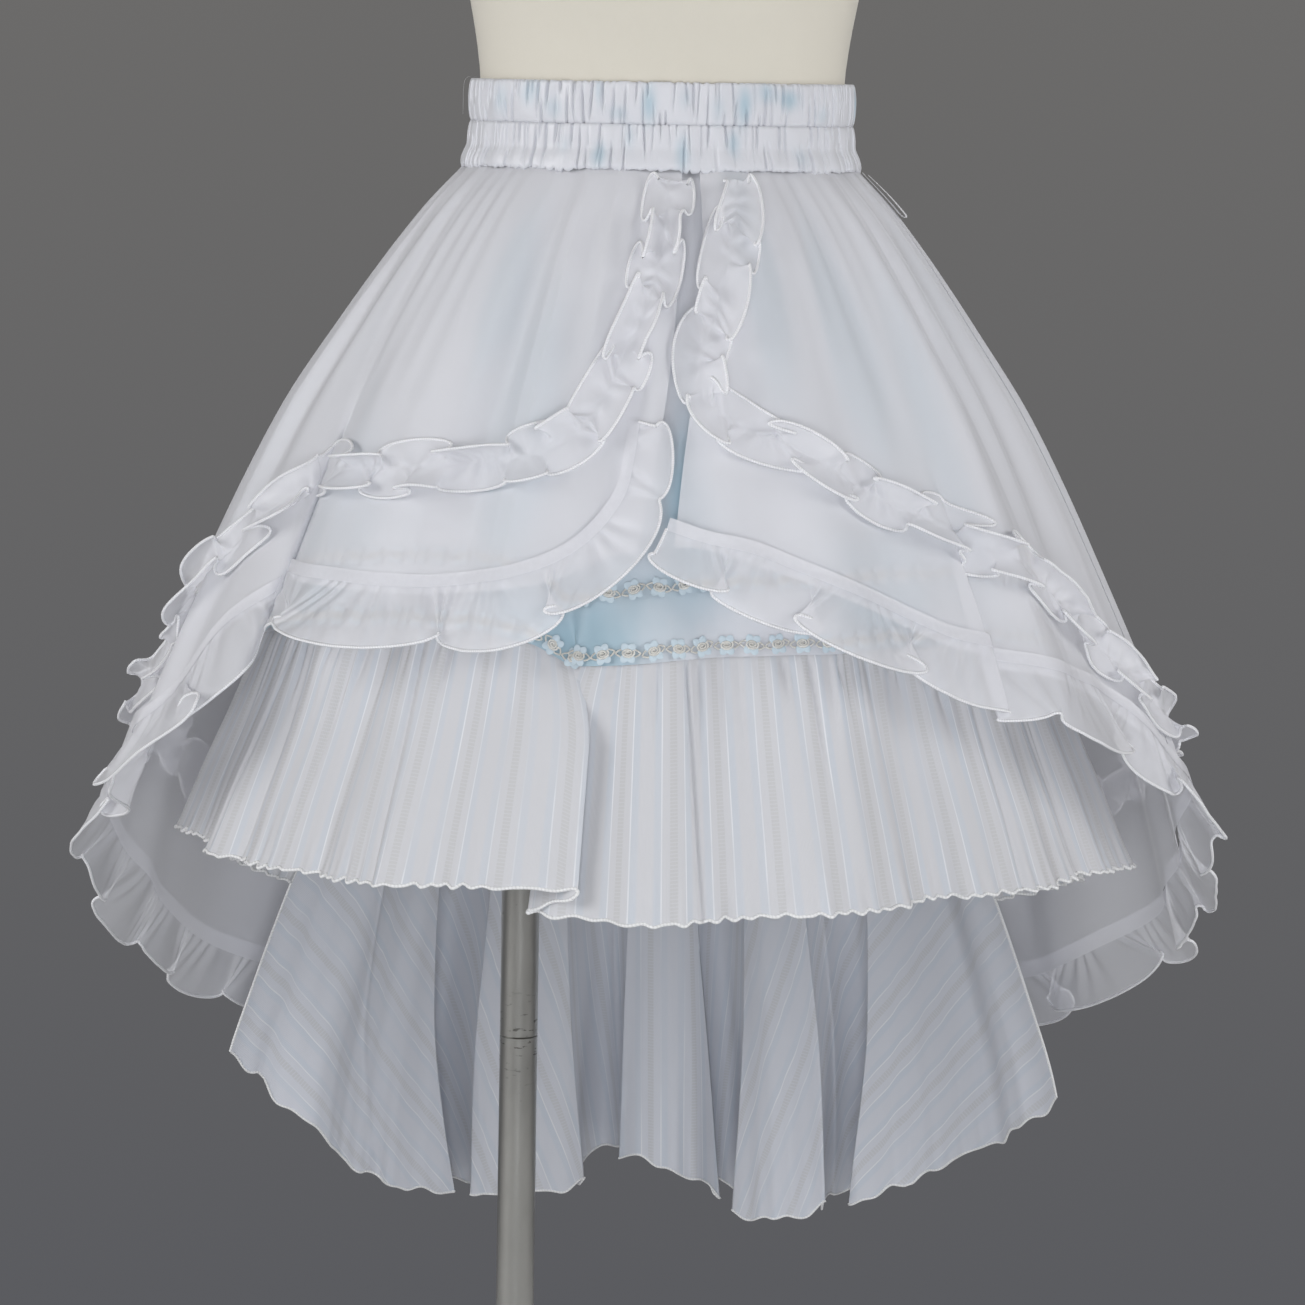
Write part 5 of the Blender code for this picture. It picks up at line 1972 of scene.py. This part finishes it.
@dataclass
class Studio:
    """Floor, grey surround, soft lights and the camera."""

    camera_distance: float = 3.1
    lens: float = 131.7
    aim_drop: float = 0.371  # how far below the waist the camera looks
    roll: float = 1.0  # in degrees
    floor_middle: float = -1.30
    floor_rings: tuple[tuple[float, float], ...] = (
        (0.001, 0.0),
        (1.0, 0.0),
        (2.05, 0.0),
        (2.10, -0.01),
    )
    floor_tint: Triple = (0.62, 0.62, 0.62)
    low_grey: Triple = (0.103, 0.105, 0.115)
    high_grey: Triple = (0.150, 0.147, 0.144)
    greys_from: float = -0.26  # the slopes of view between which the grey changes
    greys_to: float = 0.02
    lamp_aim: float = 0.75  # the height that the lamps shine at

    def build(self) -> None:
        """Makes the whole studio."""
        self.floor()
        self.surround()
        for lamp in LAMPS:
            self.light(lamp)
        self.camera()

    def floor(self) -> None:
        """A round pale floor that reaches forward, its far edge just below the picture."""
        grid = turned_rings(self.floor_rings, 0.0, self.floor_middle, 128)
        floor = grid_mesh("studio_floor", grid)
        floor.data.materials.append(Plain("floor", "", self.floor_tint, 0.9).material())

    def surround(self) -> None:
        """A grey backdrop a little darker towards the floor."""
        world = bpy.data.worlds.new("studio")
        bpy.context.scene.world = world
        world.use_nodes = True
        tree = world.node_tree
        coords = tree.nodes.new("ShaderNodeTexCoord")
        split = tree.nodes.new("ShaderNodeSeparateXYZ")
        ramp = tree.nodes.new("ShaderNodeMapRange")
        ramp.inputs["From Min"].default_value = self.greys_from
        ramp.inputs["From Max"].default_value = self.greys_to
        blend = tree.nodes.new("ShaderNodeMix")
        blend.data_type = "RGBA"
        blend.inputs[6].default_value = (*self.low_grey, 1.0)
        blend.inputs[7].default_value = (*self.high_grey, 1.0)
        tree.links.new(coords.outputs["Generated"], split.inputs[0])
        tree.links.new(split.outputs[2], ramp.inputs["Value"])
        tree.links.new(ramp.outputs["Result"], blend.inputs["Factor"])
        tree.links.new(blend.outputs[2], tree.nodes["Background"].inputs["Color"])

    def light(self, lamp: Lamp) -> None:
        """A square softbox aimed at the skirt.

        Args:
            lamp: the lamp's table row.
        """
        data = bpy.data.lights.new(lamp.name, "AREA")
        data.size, data.energy, data.color = lamp.size, lamp.power, lamp.tint
        box = bpy.data.objects.new(lamp.name, data)
        box.location = lamp.place
        aim = Vector((0.0, 0.0, self.lamp_aim)) - box.location
        box.rotation_euler = aim.to_track_quat("-Z", "Y").to_euler()
        box.visible_camera = False
        box.visible_glossy = lamp.name in MIRRORED_LAMPS
        bpy.context.scene.collection.objects.link(box)

    def camera(self) -> None:
        """The photograph's view, level with the waist and tipped a little down and clockwise."""
        data = bpy.data.cameras.new("camera")
        data.sensor_width = 36.0
        data.lens = self.lens
        eye = bpy.data.objects.new("camera", data)
        eye.location = (0.0, -self.camera_distance, WAIST_HEIGHT + 0.005)
        aim = Vector((0.0, 0.0, WAIST_HEIGHT - self.aim_drop)) - eye.location
        roll = Matrix.Rotation(math.radians(self.roll), 3, "Z")
        eye.rotation_euler = (aim.to_track_quat("-Z", "Y").to_matrix() @ roll).to_euler()
        bpy.context.scene.collection.objects.link(eye)
        bpy.context.scene.camera = eye


def main() -> None:
    """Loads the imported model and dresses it."""
    logging.basicConfig(level=logging.INFO)
    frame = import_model()
    palette = Palette()
    for node in ("form_neck_plate", "form_flange", "pole_socket", "stand_base"):
        palette.dress(frame["nodes"][node], Finish.STEEL)
    assemblies = (
        DressForm(),
        Pole(),
        HangerLoop("hanger_loop_left", Loft(FORM_SECTIONS), LEFT_LOOP_ANGLE, LEFT_LOOP),
        HangerLoop("hanger_loop_right", OverskirtLoft(), RIGHT_LOOP_ANGLE, RIGHT_LOOP),
        Waistband(),
        Underskirt(),
        FlowerBraid("braid_upper", rise=0.044),
        FlowerBraid("braid_lower", rise=0.007),
        Flounce(),
        Overskirt(),
        Frill("frill_trim", TRIM_LEFT, TRIM_RIGHT, both_edges=True, wave=0.068, seed=3),
        Frill(
            "frill_hem",
            HEM_LEFT,
            HEM_RIGHT,
            both_edges=False,
            wave=0.140,
            seed=8,
            fullness=1.25,
            meander=0.15,
            per_wave=150,
            ends=0.6,
        ),
    )
    for assembly in assemblies:
        made = assembly.build()
        assembly.dress(palette, made)
        log.info("%s is dressed", type(assembly).__name__)
    Studio().build()
    bpy.context.scene.view_settings.view_transform = "Standard"


if __name__ == "__main__":
    main()
